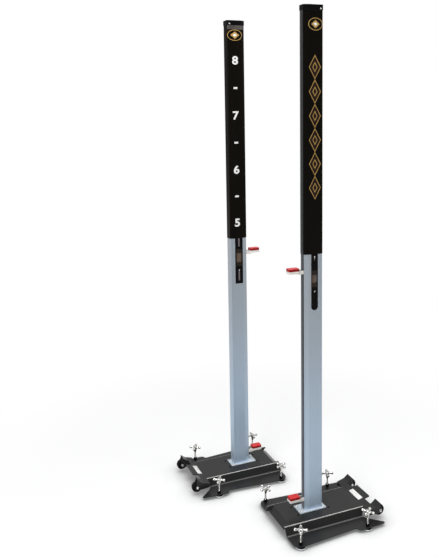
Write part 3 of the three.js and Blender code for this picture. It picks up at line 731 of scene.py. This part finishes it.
def make_label(side):
    """The bare white plate on the slope at the wheel end."""
    s = sizes()
    deck, _ = local_box(side, "foot_plate")
    start = Matrix.Translation((s.slope_from, 0.0, deck.z)) @ Matrix.Rotation(-s.slope_tilt, 4, "Y")
    bm = bmesh.new()
    box_in(bm, (s.label_width, s.label_length, LABEL_THICKNESS),
           (s.label_inset + s.label_width / 2, 0.0, LABEL_RISE))
    plate = new_piece(f"{side}_blank_plate", bm, ["Blank White Plate"], matrix=place(side) @ start)
    round_edges(plate, mm(0.25))
    mount(plate, ROOT)


def box_in(bm, size, centre):
    """Adds a box to a bmesh."""
    cube = bmesh.ops.create_cube(bm, size=1.0)["verts"]
    bmesh.ops.scale(bm, vec=size, verts=cube)
    bmesh.ops.translate(bm, vec=centre, verts=cube)


def make_deck_hardware():
    s = sizes()
    for side in SIDES:
        low, high = local_box(side, "foot_plate")
        refined(side, "foot_plate", "zinc_plate", ["Zinc Plate"], mm(0.8), ROOT)
        corners = [((x, y, high.z), UP) for x in (low.x + s.bolt_inset, high.x - s.bolt_inset)
                   for y in (low.y + s.bolt_inset, high.y - s.bolt_inset)]
        fasteners(side, "plate_bolts", corners, s.bolt_radius)
        deck = [((x, y, low.z), UP) for x in (low.x - s.deck_screw_reach, high.x + s.deck_screw_reach)
                for y in (low.y, high.y)]
        fasteners(side, "deck_screws", deck, s.deck_screw_radius, "Black Oxide Steel")


def make_masts():
    s = sizes()
    for side in SIDES:
        dress(side, "mast", "Satin Anodised Aluminium")
        dress(side, "guide_rail", "Guide Rail Plastic")
        refined(side, "mast_cap", "moulded_cap", ["Black Moulding"], mm(1.2), ROOT, 3, 25.0)
        low, high = local_box(side, "mast_cap")
        spots = [((high.x - s.cap_screw_inset, y, low.z + s.cap_screw_rise), (0.0, way * SIDES[side], 0.0))
                 for y, way in ((low.y, -1.0), (high.y, 1.0))]
        fasteners(side, "cap_screws", spots, s.cap_screw_radius, socket=4)


# Prints on the sleeves

# Size and thickening of the font, as shares of the numbers' height
FONT_SIZE = 1.36
FONT_SWELL = 0.04
# Width and height of a badge's lozenge in its ring, and the heart of each kind of lozenge, as shares
BADGE_LOZENGE = (0.6, 0.66)
BADGE_HEART = 0.46
LOZENGE_HEART = 0.42
# Cuts round the sleeve's back corner, and how far round it a print may go
CORNER_CUTS = 5
CORNER_SHARE = 0.98
BORDER_GAP = 0.0005


def number_mesh(name, body):
    """A flat number in the XY plane, centred on the origin."""
    s = sizes()
    curve = bpy.data.curves.new(name, "FONT")
    curve.body = body
    curve.align_x = "CENTER"
    curve.size = s.numeral_height * FONT_SIZE
    curve.offset = s.numeral_height * FONT_SWELL
    curve.extrude = s.print_thickness / 2
    curve.resolution_u = 6
    helper = bpy.data.objects.new(name, curve)
    bpy.context.scene.collection.objects.link(helper)
    graph = bpy.context.evaluated_depsgraph_get()
    mesh = bpy.data.meshes.new_from_object(helper.evaluated_get(graph))
    bpy.data.objects.remove(helper)
    bm = bmesh.new()
    bm.from_mesh(mesh)
    bpy.data.meshes.remove(mesh)
    bmesh.ops.remove_doubles(bm, verts=bm.verts, dist=1e-7)
    for axis in range(2):
        middle = (min(v.co[axis] for v in bm.verts) + max(v.co[axis] for v in bm.verts)) / 2
        for v in bm.verts:
            v.co[axis] -= middle
    bmesh.ops.scale(bm, vec=(s.numeral_stretch, 1.0, 1.0), verts=bm.verts)
    return bm


def flat_shapes(*shapes):
    """Flat plates in the XY plane, each inside an outline or between two outlines of equal count."""
    bm = bmesh.new()
    half = sizes().print_thickness / 2
    for outlines in shapes:
        rims = [[[bm.verts.new((x, y, z)) for x, y in line] for z in (-half, half)] for line in outlines]
        count = len(outlines[0])
        faces = []
        for k in range(count):
            j = (k + 1) % count
            faces += [(low[k], low[j], high[j], high[k]) for low, high in rims]
            if len(rims) == 2:
                faces += [(outer[k], outer[j], inner[j], inner[k]) for outer, inner in zip(*rims)]
        if len(rims) == 1:
            faces += rims[0]
        for corners in faces:
            bm.faces.new(corners)
    return bm


def oblong(width, height):
    """Corners of an oblong about the origin."""
    x, y = width / 2, height / 2
    return [(-x, -y), (x, -y), (x, y), (-x, y)]


def ellipse(width, height, steps=48):
    return [(math.cos(2 * math.pi * k / steps) * width / 2, math.sin(2 * math.pi * k / steps) * height / 2)
            for k in range(steps)]


def lozenge(width, height, inset=0.0):
    """Corners of a lozenge whose sides have moved in by inset."""
    a, b = width / 2, height / 2
    keep = 1.0 - inset * math.hypot(a, b) / (a * b)
    return [(a * keep, 0.0), (0.0, b * keep), (-a * keep, 0.0), (0.0, -b * keep)]


def on_sleeve(bm, side, x, z, way):
    """Lays a flat drawing on a broad face of the sleeve, round its shoulder and its back corner."""
    s = sizes()
    _, high = local_box(side, "scale_sleeve")
    _, mast = local_box(side, "mast")
    wall = high.y - mast.y
    tilt = math.atan2(mast.y - s.nose_half, s.nose_depth - s.shoulder)
    front = -s.shoulder - wall * math.tan(tilt / 2)
    corner = s.mast_round + wall
    back = high.x - corner
    turn = Matrix.Rotation(math.pi if way > 0 else 0.0, 4, "Z") @ Matrix.Rotation(math.pi / 2, 4, "X")
    bmesh.ops.transform(bm, matrix=Matrix.Translation((x, way * (high.y + s.print_thickness / 2), z)) @ turn,
                        verts=bm.verts)
    for cut in [front] + [back + corner * step / CORNER_CUTS for step in range(CORNER_CUTS)]:
        bmesh.ops.bisect_plane(bm, geom=bm.verts[:] + bm.edges[:] + bm.faces[:], dist=1e-7,
                               plane_co=(cut, 0.0, 0.0), plane_no=(1.0, 0.0, 0.0))
    for v in bm.verts:
        if v.co.x < front:
            v.co.y -= way * (front - v.co.x) * math.tan(tilt)
        elif v.co.x > back:
            run = min(v.co.x - back, corner * CORNER_SHARE)
            v.co.y -= way * (corner - math.sqrt(corner * corner - run * run))
    merge_and_face_out(bm)
    bmesh.ops.transform(bm, matrix=place(side), verts=bm.verts)


def print_on(side, name, bm, x, z, way, finish):
    on_sleeve(bm, side, x, z, way)
    mount(new_piece(f"{side}_{name}", bm, [finish], smooth=False), ROOT)


def print_row(side, name, bm, z, way, count, step, finish):
    """One printed shape, repeated up the sleeve by the row rule."""
    name = f"{side}_{name}"
    on_sleeve(bm, side, sizes().numeral_place, z, way)
    row = run_rule(name, mesh_from(bm, name), "Row Up A Line",
                   {"Count": count, "Step": step, "Material": look(finish)}, smooth=False)
    mount(row, ROOT)


def make_sleeves():
    s = sizes()
    for side in SIDES:
        refined(side, "scale_sleeve", "printed_sleeve", ["Black Printed Wrap"], s.sleeve_edge, ROOT,
                3, 30.0)
        _, high = local_box(side, "scale_sleeve")
        for number in (8, 7, 6, 5):
            name = f"numeral_{number}"
            print_on(side, name, number_mesh(f"{side}_{name}", str(number)), s.numeral_place,
                     number * s.foot, 1.0, "White Vinyl")
        print_row(side, "half_foot_dashes", flat_shapes([oblong(s.dash_width, s.dash_height)]),
                  5.5 * s.foot, 1.0, 3, s.foot, "White Vinyl")
        print_on(side, "speckled_border", flat_shapes([oblong(s.border_width, s.border_height)]),
                 s.border_place, high.z - s.border_height / 2 - BORDER_GAP, 1.0, "Speckled Wrap Border")
        for badge in zip("ab", (1.0, -1.0), s.badge_widths, s.badge_places, s.badge_rises):
            make_badge(side, *badge)
        make_lozenges(side)


def make_badge(side, face, way, width, x, z):
    """A round ornament: a gold ring round a gold lozenge with a white heart."""
    line, height = sizes().ornament_line, sizes().badge_height
    wide, tall = width * BADGE_LOZENGE[0], height * BADGE_LOZENGE[1]
    heart = lozenge(wide * BADGE_HEART, tall * BADGE_HEART)
    rings = flat_shapes((ellipse(width, height), ellipse(width - 2 * line, height - 2 * line)),
                        (lozenge(wide, tall), heart))
    print_on(side, f"badge_ring_{face}", rings, x, z, way, "Gold Vinyl")
    print_on(side, f"badge_heart_{face}", flat_shapes([heart]), x, z, way, "White Vinyl")


def make_lozenges(side):
    """A column of gold lozenges with dark centres up the face without numbers."""
    s = sizes()
    outer, inner = ((s.lozenge_width * part, s.ornament_step * part) for part in (1.0, LOZENGE_HEART))
    line = s.ornament_line
    gold = flat_shapes((lozenge(*outer), lozenge(*outer, line)), (lozenge(*inner), lozenge(*inner, line)))
    fill = flat_shapes((lozenge(*outer, line), lozenge(*inner)), [lozenge(*inner, line)])
    for name, bm, finish in (("lozenge_lines", gold, "Gold Vinyl"),
                             ("lozenge_centres", fill, "Dark Brown Print")):
        print_row(side, name, bm, s.ornament_low + s.ornament_step / 2, -1.0, s.ornament_count,
                  s.ornament_step, finish)


# Readers, sliders and pegs

# A reader's brown recess lies at least so far behind its face and so far from its ends
RECESS_DEPTH = 0.0006
RECESS_ENDS = 0.004
# Least upward facing of the bright red top of a pad; the steeper flanks get a darker red that is painted
# shade
PAD_TOP_FACING = 0.4


def make_readers():
    """Black window frames with brown sight recesses, centre strips and small screws."""
    s = sizes()
    for side in SIDES:
        inverse = place(side).inverted()
        for node, name, way, rises in (("reader_square", "square_reader", 1.0, s.square_screws),
                                       ("reader_round", "round_reader", -1.0, s.round_screws)):
            reader = refined(side, node, name, ["Black Moulding", "Brown Sight Panel"], mm(0.35), ROOT,
                             degrees=40.0, settled=True)
            low, high = local_box(side, node)
            face = high.y if way > 0 else -low.y
            for polygon in reader.data.polygons:
                centre = inverse @ polygon.center
                if (centre.y * way < face - RECESS_DEPTH
                        and low.z + RECESS_ENDS < centre.z < high.z - RECESS_ENDS):
                    polygon.material_index = 1
            middle = (low.x + high.x) / 2
            spots = [((middle, way * face, z), (0.0, way * SIDES[side], 0.0)) for z in rises if z > 0.0]
            fasteners(side, f"{name}_screws", spots, s.reader_screw_radius, socket=4)
            if way > 0:
                make_sight_strips(side, middle, way * face)


def make_sight_strips(side, middle, face):
    """Pale strips over the line slots of the square reader."""
    s = sizes()
    bm = bmesh.new()
    for low, high in (s.strip_low, s.strip_high):
        box_in(bm, (s.strip_width, mm(0.5), high - low), (middle, face, (low + high) / 2))
    strips = new_piece(f"{side}_sight_strips", bm, ["Sight Centre Strip"], matrix=place(side))
    round_edges(strips, mm(0.2))
    mount(strips, ROOT)


def make_sliders():
    s = sizes()
    for side in SIDES:
        for node, finish in (("carriage_bar", "Mill Aluminium"), ("measuring_tape", "Measuring Tape"),
                             ("upper_glide", "Natural Nylon"), ("lower_glide", "Natural Nylon")):
            dress(side, node, finish)
        low, high = local_box(side, "measuring_tape")
        count = int((high.z - low.z) / s.tape_step) - 1
        for face, y in (("a", high.y), ("b", low.y)):
            start = place(side) @ Vector(((low.x + high.x) / 2, y, low.z + s.tape_step))
            marks = grown(f"{side}_tape_marks_{face}", "Scale Marks", [start],
                          {"Count": count, "Step": s.tape_step, "Length": mm(9.0), "Width": mm(0.8),
                           "Thickness": mm(0.12), "Material": look("Tape Ink")})
            mount(marks, f"{side}_slider")


def make_pegs():
    for side in SIDES:
        for level in ("upper", "lower"):
            pad = refined(side, f"{level}_peg_pad", f"{level}_red_pad",
                          ["Red Rubber Pad", "Red Rubber Flank"], mm(0.8), f"{side}_slider",
                          degrees=20.0)
            for face in pad.data.polygons:
                # Flanks get the darker red of painted shade, tops the plain red.
                face.material_index = 0 if face.normal.z > PAD_TOP_FACING else 1
            refined(side, f"{level}_peg_bracket", f"{level}_white_bracket", ["White Enamel"], mm(0.7),
                    f"{side}_slider")


# Leveling screws, foot pads and wheels

# How much of the CAD arm's length the rounded arm takes, so that it stays inside the CAD's box
ARM_SHARE = 0.996


def threaded(bm, matrix, radius, low, high, pitch, depth, steps=20):
    """A rod with a real helical thread between two heights."""
    rows = int((high - low) / (pitch / 4))
    rings = []
    for row in range(rows + 1):
        z = low + (high - low) * row / rows
        fade = min(1.0, row / 4, (rows - row) / 4)
        ring = []
        for k in range(steps):
            phase = (z / pitch - k / steps) % 1.0
            r = radius - depth * abs(phase * 2 - 1) * fade
            turn = 2 * math.pi * k / steps
            ring.append(bm.verts.new(matrix @ Vector((r * math.cos(turn), r * math.sin(turn), z))))
        rings.append(ring)
    for lower, upper in zip(rings, rings[1:]):
        for k in range(steps):
            j = (k + 1) % steps
            bm.faces.new((lower[k], lower[j], upper[j], upper[k]))
    bm.faces.new(rings[0][::-1])
    bm.faces.new(rings[-1])


def handle_turn(node, middle):
    """Reach and turn of a cross handle, read from the ends of its four arms."""
    points = [v.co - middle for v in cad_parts[node].data.vertices]
    reach = max(math.hypot(p.x, p.y) for p in points)
    ends = [math.atan2(p.y, p.x) for p in points if math.hypot(p.x, p.y) > reach * 0.97]
    along = sum(math.cos(4 * a) for a in ends)
    aside = sum(math.sin(4 * a) for a in ends)
    return reach * ARM_SHARE, math.atan2(aside, along) / 4


def make_leveling_feet():
    for side in SIDES:
        for i in FEET:
            low, high = world_box(f"{side}_foot_pad_{i}")
            middle = Vector(((low.x + high.x) / 2, (low.y + high.y) / 2, 0.0))
            make_cross_handle(side, i, middle)
            make_floor_pad(side, i, Matrix.Translation(middle), low, high)


def make_cross_handle(side, i, middle):
    """A threaded stem under a round hub with four swelling arms."""
    s = sizes()
    node = f"{side}_leveling_screw_{i}"
    low, high = world_box(node)
    reach, turn = handle_turn(node, middle)
    top = high.z
    hub, foot = s.hub_radius, top - s.hub_height
    stem = s.stem_radius
    base = Matrix.Translation(middle)
    bm = bmesh.new()
    threaded(bm, base, stem, low.z, foot - s.hub_taper + mm(2.0), s.thread_pitch, s.thread_depth)
    turned(bm, [(0.0, foot - s.hub_taper), (stem * 0.98, foot - s.hub_taper),
                (stem * 1.35, foot - s.hub_taper * 0.8), (hub * 0.93, foot - mm(1.2)), (hub, foot + mm(0.6)),
                (hub, top - mm(4.0)), (hub * 0.94, top - mm(1.8)), (hub * 0.72, top - mm(0.5)),
                (0.0, top)], base)
    level = base @ Matrix.Translation((0.0, 0.0, (top + foot) / 2))
    neck, end = s.arm_radius, s.arm_end_radius
    for quarter in range(4):
        arm = level @ Matrix.Rotation(turn + quarter * math.pi / 2, 4, "Z") @ \
            Matrix.Rotation(math.pi / 2, 4, "Y")
        turned(bm, [(0.0, mm(2.0)), (neck, mm(2.0)), (neck * 0.94, reach * 0.5), (neck, reach * 0.6),
                    (end * 0.9, reach * 0.68), (end, reach * 0.76), (end * 0.99, reach * 0.88),
                    (end * 0.86, reach * 0.95), (end * 0.5, reach * 0.995), (0.0, reach)], arm, 28)
    solid_piece(f"{side}_cross_handle_{i}", bm, ["Bright Plating"], f"{side}_screw_{i}", node)


def make_floor_pad(side, i, base, low, high):
    """A plated disc over a thin black rim at the floor, which is painted contact shadow, and under a black
    ring.
    """
    s = sizes()
    radius = (high.x - low.x) / 2
    disc, top = low.z + s.disc_height, high.z
    dark_rim_top = low.z + mm(1.6)
    bm = bmesh.new()
    # The thin black rim at the floor is painted contact shadow, an outline where the disc meets the floor.
    turned(bm, [(0.0, low.z), (radius - mm(0.5), low.z), (radius - mm(0.1), low.z + mm(0.4)),
                (radius - mm(0.1), dark_rim_top + mm(0.1)), (0.0, dark_rim_top + mm(0.1))], base, material=1)
    turned(bm, [(0.0, dark_rim_top), (radius - mm(0.6), dark_rim_top), (radius, dark_rim_top + mm(0.6)), (radius, disc - mm(1.2)),
                (radius - mm(0.4), disc - mm(0.3)), (radius - mm(1.2), disc), (0.0, disc)], base)
    inner = s.stem_radius + mm(1.2)
    outer = radius - mm(2.0)
    turned(bm, [(inner, disc - mm(1.0)), (outer, disc - mm(1.0)), (outer, top - mm(1.0)),
                (outer - mm(0.8), top), (inner + mm(0.8), top), (inner, top - mm(0.8))], base, material=1)
    solid_piece(f"{side}_floor_pad_{i}", bm, ["Foot Pad Plating", "Black Rubber"], f"{side}_foot_{i}",
                f"{side}_foot_pad_{i}")


def make_wheels():
    for side in SIDES:
        for i in WHEELS:
            make_tyre(side, i)
            make_axle(side, i)


def make_tyre(side, i):
    """A solid wheel with a dished side and rounded shoulders."""
    low, high = world_box(f"{side}_wheel_{i}")
    radius = (high.z - low.z) / 2
    half = (high.y - low.y) / 2
    turn = Matrix.Translation((low + high) / 2) @ Matrix.Rotation(math.pi / 2, 4, "X")
    dish = half - mm(3.0)
    face = [(mm(5.6), half), (mm(10.5), half), (mm(11.6), half - mm(1.0)), (mm(12.2), dish),
            (radius - mm(10.4), dish), (radius - mm(9.6), half - mm(1.2)), (radius - mm(8.6), half),
            (radius - mm(5.4), half), (radius - mm(2.8), half - mm(0.9)), (radius - mm(0.8), half - mm(2.8)),
            (radius, half - mm(5.4))]
    bm = bmesh.new()
    turned(bm, face + [(r, -z) for r, z in reversed(face)], turn, 64)
    bmesh.ops.remove_doubles(bm, verts=bm.verts, dist=1e-6)
    solid_piece(f"{side}_rubber_wheel_{i}", bm, ["Black Rubber"], f"{side}_wheel_{i}",
                f"{side}_wheel_{i}")


def make_axle(side, i):
    """A bolt with a domed head outside and a six sided nut inside."""
    low, high = world_box(f"{side}_axle_{i}")
    mast_low, mast_high = world_box(f"{side}_mast")
    outward = 1.0 if low.y + high.y > mast_low.y + mast_high.y else -1.0
    start = low.y if outward > 0 else high.y
    run = high.y - low.y
    turn = Matrix.Translation(((low.x + high.x) / 2, start, (low.z + high.z) / 2)) @ \
        Matrix.Rotation(-outward * math.pi / 2, 4, "X")
    nut, head, shank = mm(5.4), (high.z - low.z) / 2, mm(4.9)
    bm = bmesh.new()
    turned(bm, [(0.0, 0.0), (head * 0.86, 0.0), (head * 0.96, mm(0.8)), (head * 0.96, nut), (0.0, nut)],
           turn, 6)
    turned(bm, [(0.0, nut - mm(0.1)), (shank, nut - mm(0.1)), (shank, run - mm(6.0)), (0.0, run - mm(6.0))],
           turn)
    turned(bm, [(0.0, run - mm(6.4)), (head, run - mm(6.4)), (head, run - mm(5.0)),
                (head * 0.9, run - mm(2.8)), (head * 0.68, run - mm(1.1)), (head * 0.35, run - mm(0.2)),
                (0.0, run)], turn)
    solid_piece(f"{side}_axle_bolt_{i}", bm, ["Bright Plating"], ROOT, f"{side}_axle_{i}")


# Stage

PAPER_WHITE = 0.93
# How open the sky is over paper in full contact shade, and over paper without any
OPEN_SKY = (0.45, 0.96)
# Distances from the pair's origin between which the shadow fades out
SHADOW_FADES = (0.9, 2.2)
# Between these cosines to the camera's heading, the room goes from its front to its back
ROOM_BACK = (-0.3, 0.5)
# Heights of the horizon, of the back wall's brightest band and of the ceiling, in gloss
GLOSS_BANDS = (0.22, 0.47, 0.85)


def make_paper(name, values):
    """White studio paper that fades to plain white away from the object, where no shadow shows.
    It darkens softly where the object closes it in, and sends only a part of its light back up."""
    tree, shader = new_material(name)
    seen = add(tree, "ShaderNodeLightPath")
    sky = add(tree, "ShaderNodeAmbientOcclusion", {"Distance": values.contact_reach}, samples=8)
    contact = add(tree, "ShaderNodeMapRange", {
        "Value": (sky, "AO"), "From Min": OPEN_SKY[0], "From Max": OPEN_SKY[1],
        "To Min": values.contact_shade}), "Result"
    shade = blend(tree, (seen, "Is Diffuse Ray"), arithmetic(tree, "MULTIPLY", contact, PAPER_WHITE),
                  (*[values.floor_return] * 3, 1.0))
    feed(tree, shader, {"Base Color": shade, "Roughness": 0.9, "Specular IOR Level": 0.1})
    where = add(tree, "ShaderNodeTexCoord")
    reach = add(tree, "ShaderNodeVectorMath", {0: (where, "Object")}, operation="LENGTH")
    fade = smooth_step(tree, (reach, "Value"), *SHADOW_FADES, values.shadow_fade)
    plain = arithmetic(tree, "MULTIPLY", fade, arithmetic(tree, "SUBTRACT", 1.0, (seen, "Is Diffuse Ray")))
    white = add(tree, "ShaderNodeEmission", {"Color": contact})
    mix = add(tree, "ShaderNodeMixShader", {"Fac": plain, 1: (shader, "BSDF"), 2: (white, "Emission")})
    feed(tree, tree.nodes["Material Output"], {"Surface": (mix, "Shader")})


def make_room(scene, values):
    """White behind the object, and for gloss a bright wall behind it that dims towards the front."""
    scene.world = bpy.data.worlds.new("Studio")
    scene.world.use_nodes = True
    tree = scene.world.node_tree
    tree.nodes.clear()
    seen = add(tree, "ShaderNodeLightPath")
    where = add(tree, "ShaderNodeTexCoord"), "Generated"
    facing = add(tree, "ShaderNodeVectorMath", {0: where, 1: (*values.heading, 0.0)},
                 operation="DOT_PRODUCT")
    behind = smooth_step(tree, (facing, "Value"), *ROOM_BACK, values.front_gloss)
    split = add(tree, "ShaderNodeSeparateXYZ", {"Vector": where})
    above = add(tree, "ShaderNodeValToRGB", {"Fac": (split, "Z")})
    stops = above.color_ramp.elements
    horizon, band, ceiling = GLOSS_BANDS
    stops[0].position, stops[1].position = horizon, ceiling
    for stop, shade in ((stops[0], values.horizon_gloss), (stops[1], values.front_gloss),
                        (stops.new(band), values.back_gloss)):
        stop.color = (shade, shade, shade, 1.0)
    room = add(tree, "ShaderNodeBackground", {"Color": (0.96, 0.98, 1.0, 1.0), "Strength": values.ambient})
    level = arithmetic(tree, "MULTIPLY", behind, (above, "Color"))
    sheen = add(tree, "ShaderNodeBackground", {"Strength": level})
    white = add(tree, "ShaderNodeBackground", {"Color": (1.0, 1.0, 1.0, 1.0)})
    lit = add(tree, "ShaderNodeMixShader", {"Fac": (seen, "Is Glossy Ray"), 1: (room, "Background"),
                                            2: (sheen, "Background")})
    shown = arithmetic(tree, "MAXIMUM", (seen, "Is Camera Ray"), (seen, "Is Transmission Ray"))
    mix = add(tree, "ShaderNodeMixShader", {"Fac": shown, 1: (lit, "Shader"), 2: (white, "Background")})
    add(tree, "ShaderNodeOutputWorld", {"Surface": (mix, "Shader")})


def area_light(name, start, target, size, watts):
    light = bpy.data.lights.new(name, "AREA")
    light.shape = "RECTANGLE"
    light.size, light.size_y = size
    light.energy = watts
    lamp = bpy.data.objects.new(name, light)
    bpy.context.scene.collection.objects.link(lamp)
    lamp.location = start
    lamp.rotation_euler = (Vector(target) - Vector(start)).to_track_quat("-Z", "Y").to_euler()
    lamp.visible_camera = False


def make_stage():
    scene = bpy.context.scene
    values = scene.standards_stage
    make_paper("Studio Paper", values)
    bm = bmesh.new()
    bmesh.ops.create_circle(bm, cap_ends=True, segments=96, radius=14.0)
    floor = new_piece("studio_floor", bm, ["Studio Paper"], smooth=False)
    make_room(scene, values)
    area_light("key_softbox", (3.3, -1.3, 3.0), (0.0, 0.0, 0.8), (2.2, 2.6), values.key_power)
    area_light("top_softbox", (0.0, 0.0, 4.6), (0.0, 0.0, 0.0), (3.0, 3.0), values.top_power)
    area_light("front_softbox", (-3.7, -2.7, 2.8), (0.0, 0.0, 1.2), (2.5, 2.5), values.front_power)

    lens = bpy.data.cameras.new("photo_camera")
    lens.lens = values.lens
    lens.sensor_width = 36.0
    lens.shift_y = values.shift_y
    camera = bpy.data.objects.new("photo_camera", lens)
    scene.collection.objects.link(camera)
    heading = math.atan2(values.heading[1], values.heading[0]) - math.pi / 2
    camera.matrix_world = (Matrix.Translation(values.camera_place) @ Matrix.Rotation(heading, 4, "Z")
                           @ Matrix.Rotation(math.pi / 2 - values.pitch, 4, "X")
                           @ Matrix.Rotation(values.roll, 4, "Z"))
    scene.camera = camera
    scene.view_settings.view_transform = "Standard"


# Operators

def need(*parts):
    """Raises an error where the model lacks a node that an operator works on."""
    missing = [f"{side}_{part}" for side in SIDES for part in parts if f"{side}_{part}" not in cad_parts]
    if missing:
        raise RuntimeError("The model has no " + ", ".join(missing))


class BuildStage(bpy.types.Operator):
    """Sets up the floor, the lights and the camera"""
    bl_idname = "standards.stage"
    bl_label = "Stage"

    def execute(self, context):
        if "studio_floor" in bpy.data.objects:
            raise RuntimeError("The stage is already set up")
        make_stage()
        return {"FINISHED"}


class BuildBases(bpy.types.Operator):
    """Paints the base pans and ballast plates and adds the blank plates"""
    bl_idname = "standards.bases"
    bl_label = "Bases"

    def execute(self, context):
        need("base_pan", "ballast_plate", "foot_plate", "foot_pad_1")
        make_bases()
        return {"FINISHED"}


class BuildDeckHardware(bpy.types.Operator):
    """Builds the zinc foot plates, their bolts and the deck screws"""
    bl_idname = "standards.deck_hardware"
    bl_label = "Deck Hardware"

    def execute(self, context):
        need("foot_plate")
        make_deck_hardware()
        return {"FINISHED"}


class BuildMasts(bpy.types.Operator):
    """Finishes the masts, guide rails and caps"""
    bl_idname = "standards.masts"
    bl_label = "Masts"

    def execute(self, context):
        need("mast", "guide_rail", "mast_cap")
        make_masts()
        return {"FINISHED"}


class BuildSleeves(bpy.types.Operator):
    """Prints the numbers, dashes and ornaments on the scale sleeves"""
    bl_idname = "standards.sleeves"
    bl_label = "Scale Sleeves"

    def execute(self, context):
        need("scale_sleeve", "mast")
        make_sleeves()
        return {"FINISHED"}


class BuildReaders(bpy.types.Operator):
    """Finishes the sight windows' readers"""
    bl_idname = "standards.readers"
    bl_label = "Readers"

    def execute(self, context):
        need("reader_square", "reader_round")
        make_readers()
        return {"FINISHED"}


class BuildSliders(bpy.types.Operator):
    """Finishes the carriage bars, glides and measuring tapes"""
    bl_idname = "standards.sliders"
    bl_label = "Sliders"

    def execute(self, context):
        need("carriage_bar", "measuring_tape", "upper_glide", "lower_glide")
        make_sliders()
        return {"FINISHED"}


class BuildPegs(bpy.types.Operator):
    """Finishes the crossbar pegs and their red pads"""
    bl_idname = "standards.pegs"
    bl_label = "Crossbar Pegs"

    def execute(self, context):
        need("upper_peg_pad", "lower_peg_pad", "upper_peg_bracket", "lower_peg_bracket")
        make_pegs()
        return {"FINISHED"}


class BuildLevelingFeet(bpy.types.Operator):
    """Builds the leveling screws with their cross handles and the foot pads"""
    bl_idname = "standards.leveling_feet"
    bl_label = "Leveling Feet"

    def execute(self, context):
        need(*[f"leveling_screw_{i}" for i in FEET], *[f"foot_pad_{i}" for i in FEET])
        make_leveling_feet()
        return {"FINISHED"}


class BuildWheels(bpy.types.Operator):
    """Builds the wheels and their axle bolts"""
    bl_idname = "standards.wheels"
    bl_label = "Wheels"

    def execute(self, context):
        need(*[f"wheel_{i}" for i in WHEELS], *[f"axle_{i}" for i in WHEELS])
        make_wheels()
        return {"FINISHED"}


class StandardsPanel(bpy.types.Panel):
    """Sizes, colours and the pieces of the standards"""
    bl_idname = "VIEW3D_PT_standards"
    bl_label = "High Jump Standards"
    bl_space_type = "VIEW_3D"
    bl_region_type = "UI"
    bl_category = "Standards"

    def draw(self, context):
        for name, _ in GROUPS:
            values = getattr(context.scene, name)
            for field in values.bl_rna.properties:
                if field.identifier not in ("rna_type", "name"):
                    self.layout.prop(values, field.identifier)
        for piece in PIECES:
            self.layout.operator(piece.bl_idname)


PIECES = [BuildStage, BuildBases, BuildDeckHardware, BuildMasts, BuildSleeves, BuildReaders, BuildSliders,
          BuildPegs, BuildLevelingFeet, BuildWheels]
GROUPS = [("standards_sizes", StandardsSizes), ("standards_colours", StandardsColours),
          ("standards_stage", StandardsStage)]


def register():
    for name, values in GROUPS:
        bpy.utils.register_class(values)
        setattr(bpy.types.Scene, name, PointerProperty(type=values))
    for piece in PIECES:
        bpy.utils.register_class(piece)
    bpy.utils.register_class(StandardsPanel)


def unregister():
    bpy.utils.unregister_class(StandardsPanel)
    for piece in reversed(PIECES):
        bpy.utils.unregister_class(piece)
    for name, values in reversed(GROUPS):
        delattr(bpy.types.Scene, name)
        bpy.utils.unregister_class(values)


def main():
    register()
    for piece in PIECES:
        getattr(bpy.ops.standards, piece.bl_idname.split(".")[1])()


if __name__ == "__main__":
    main()
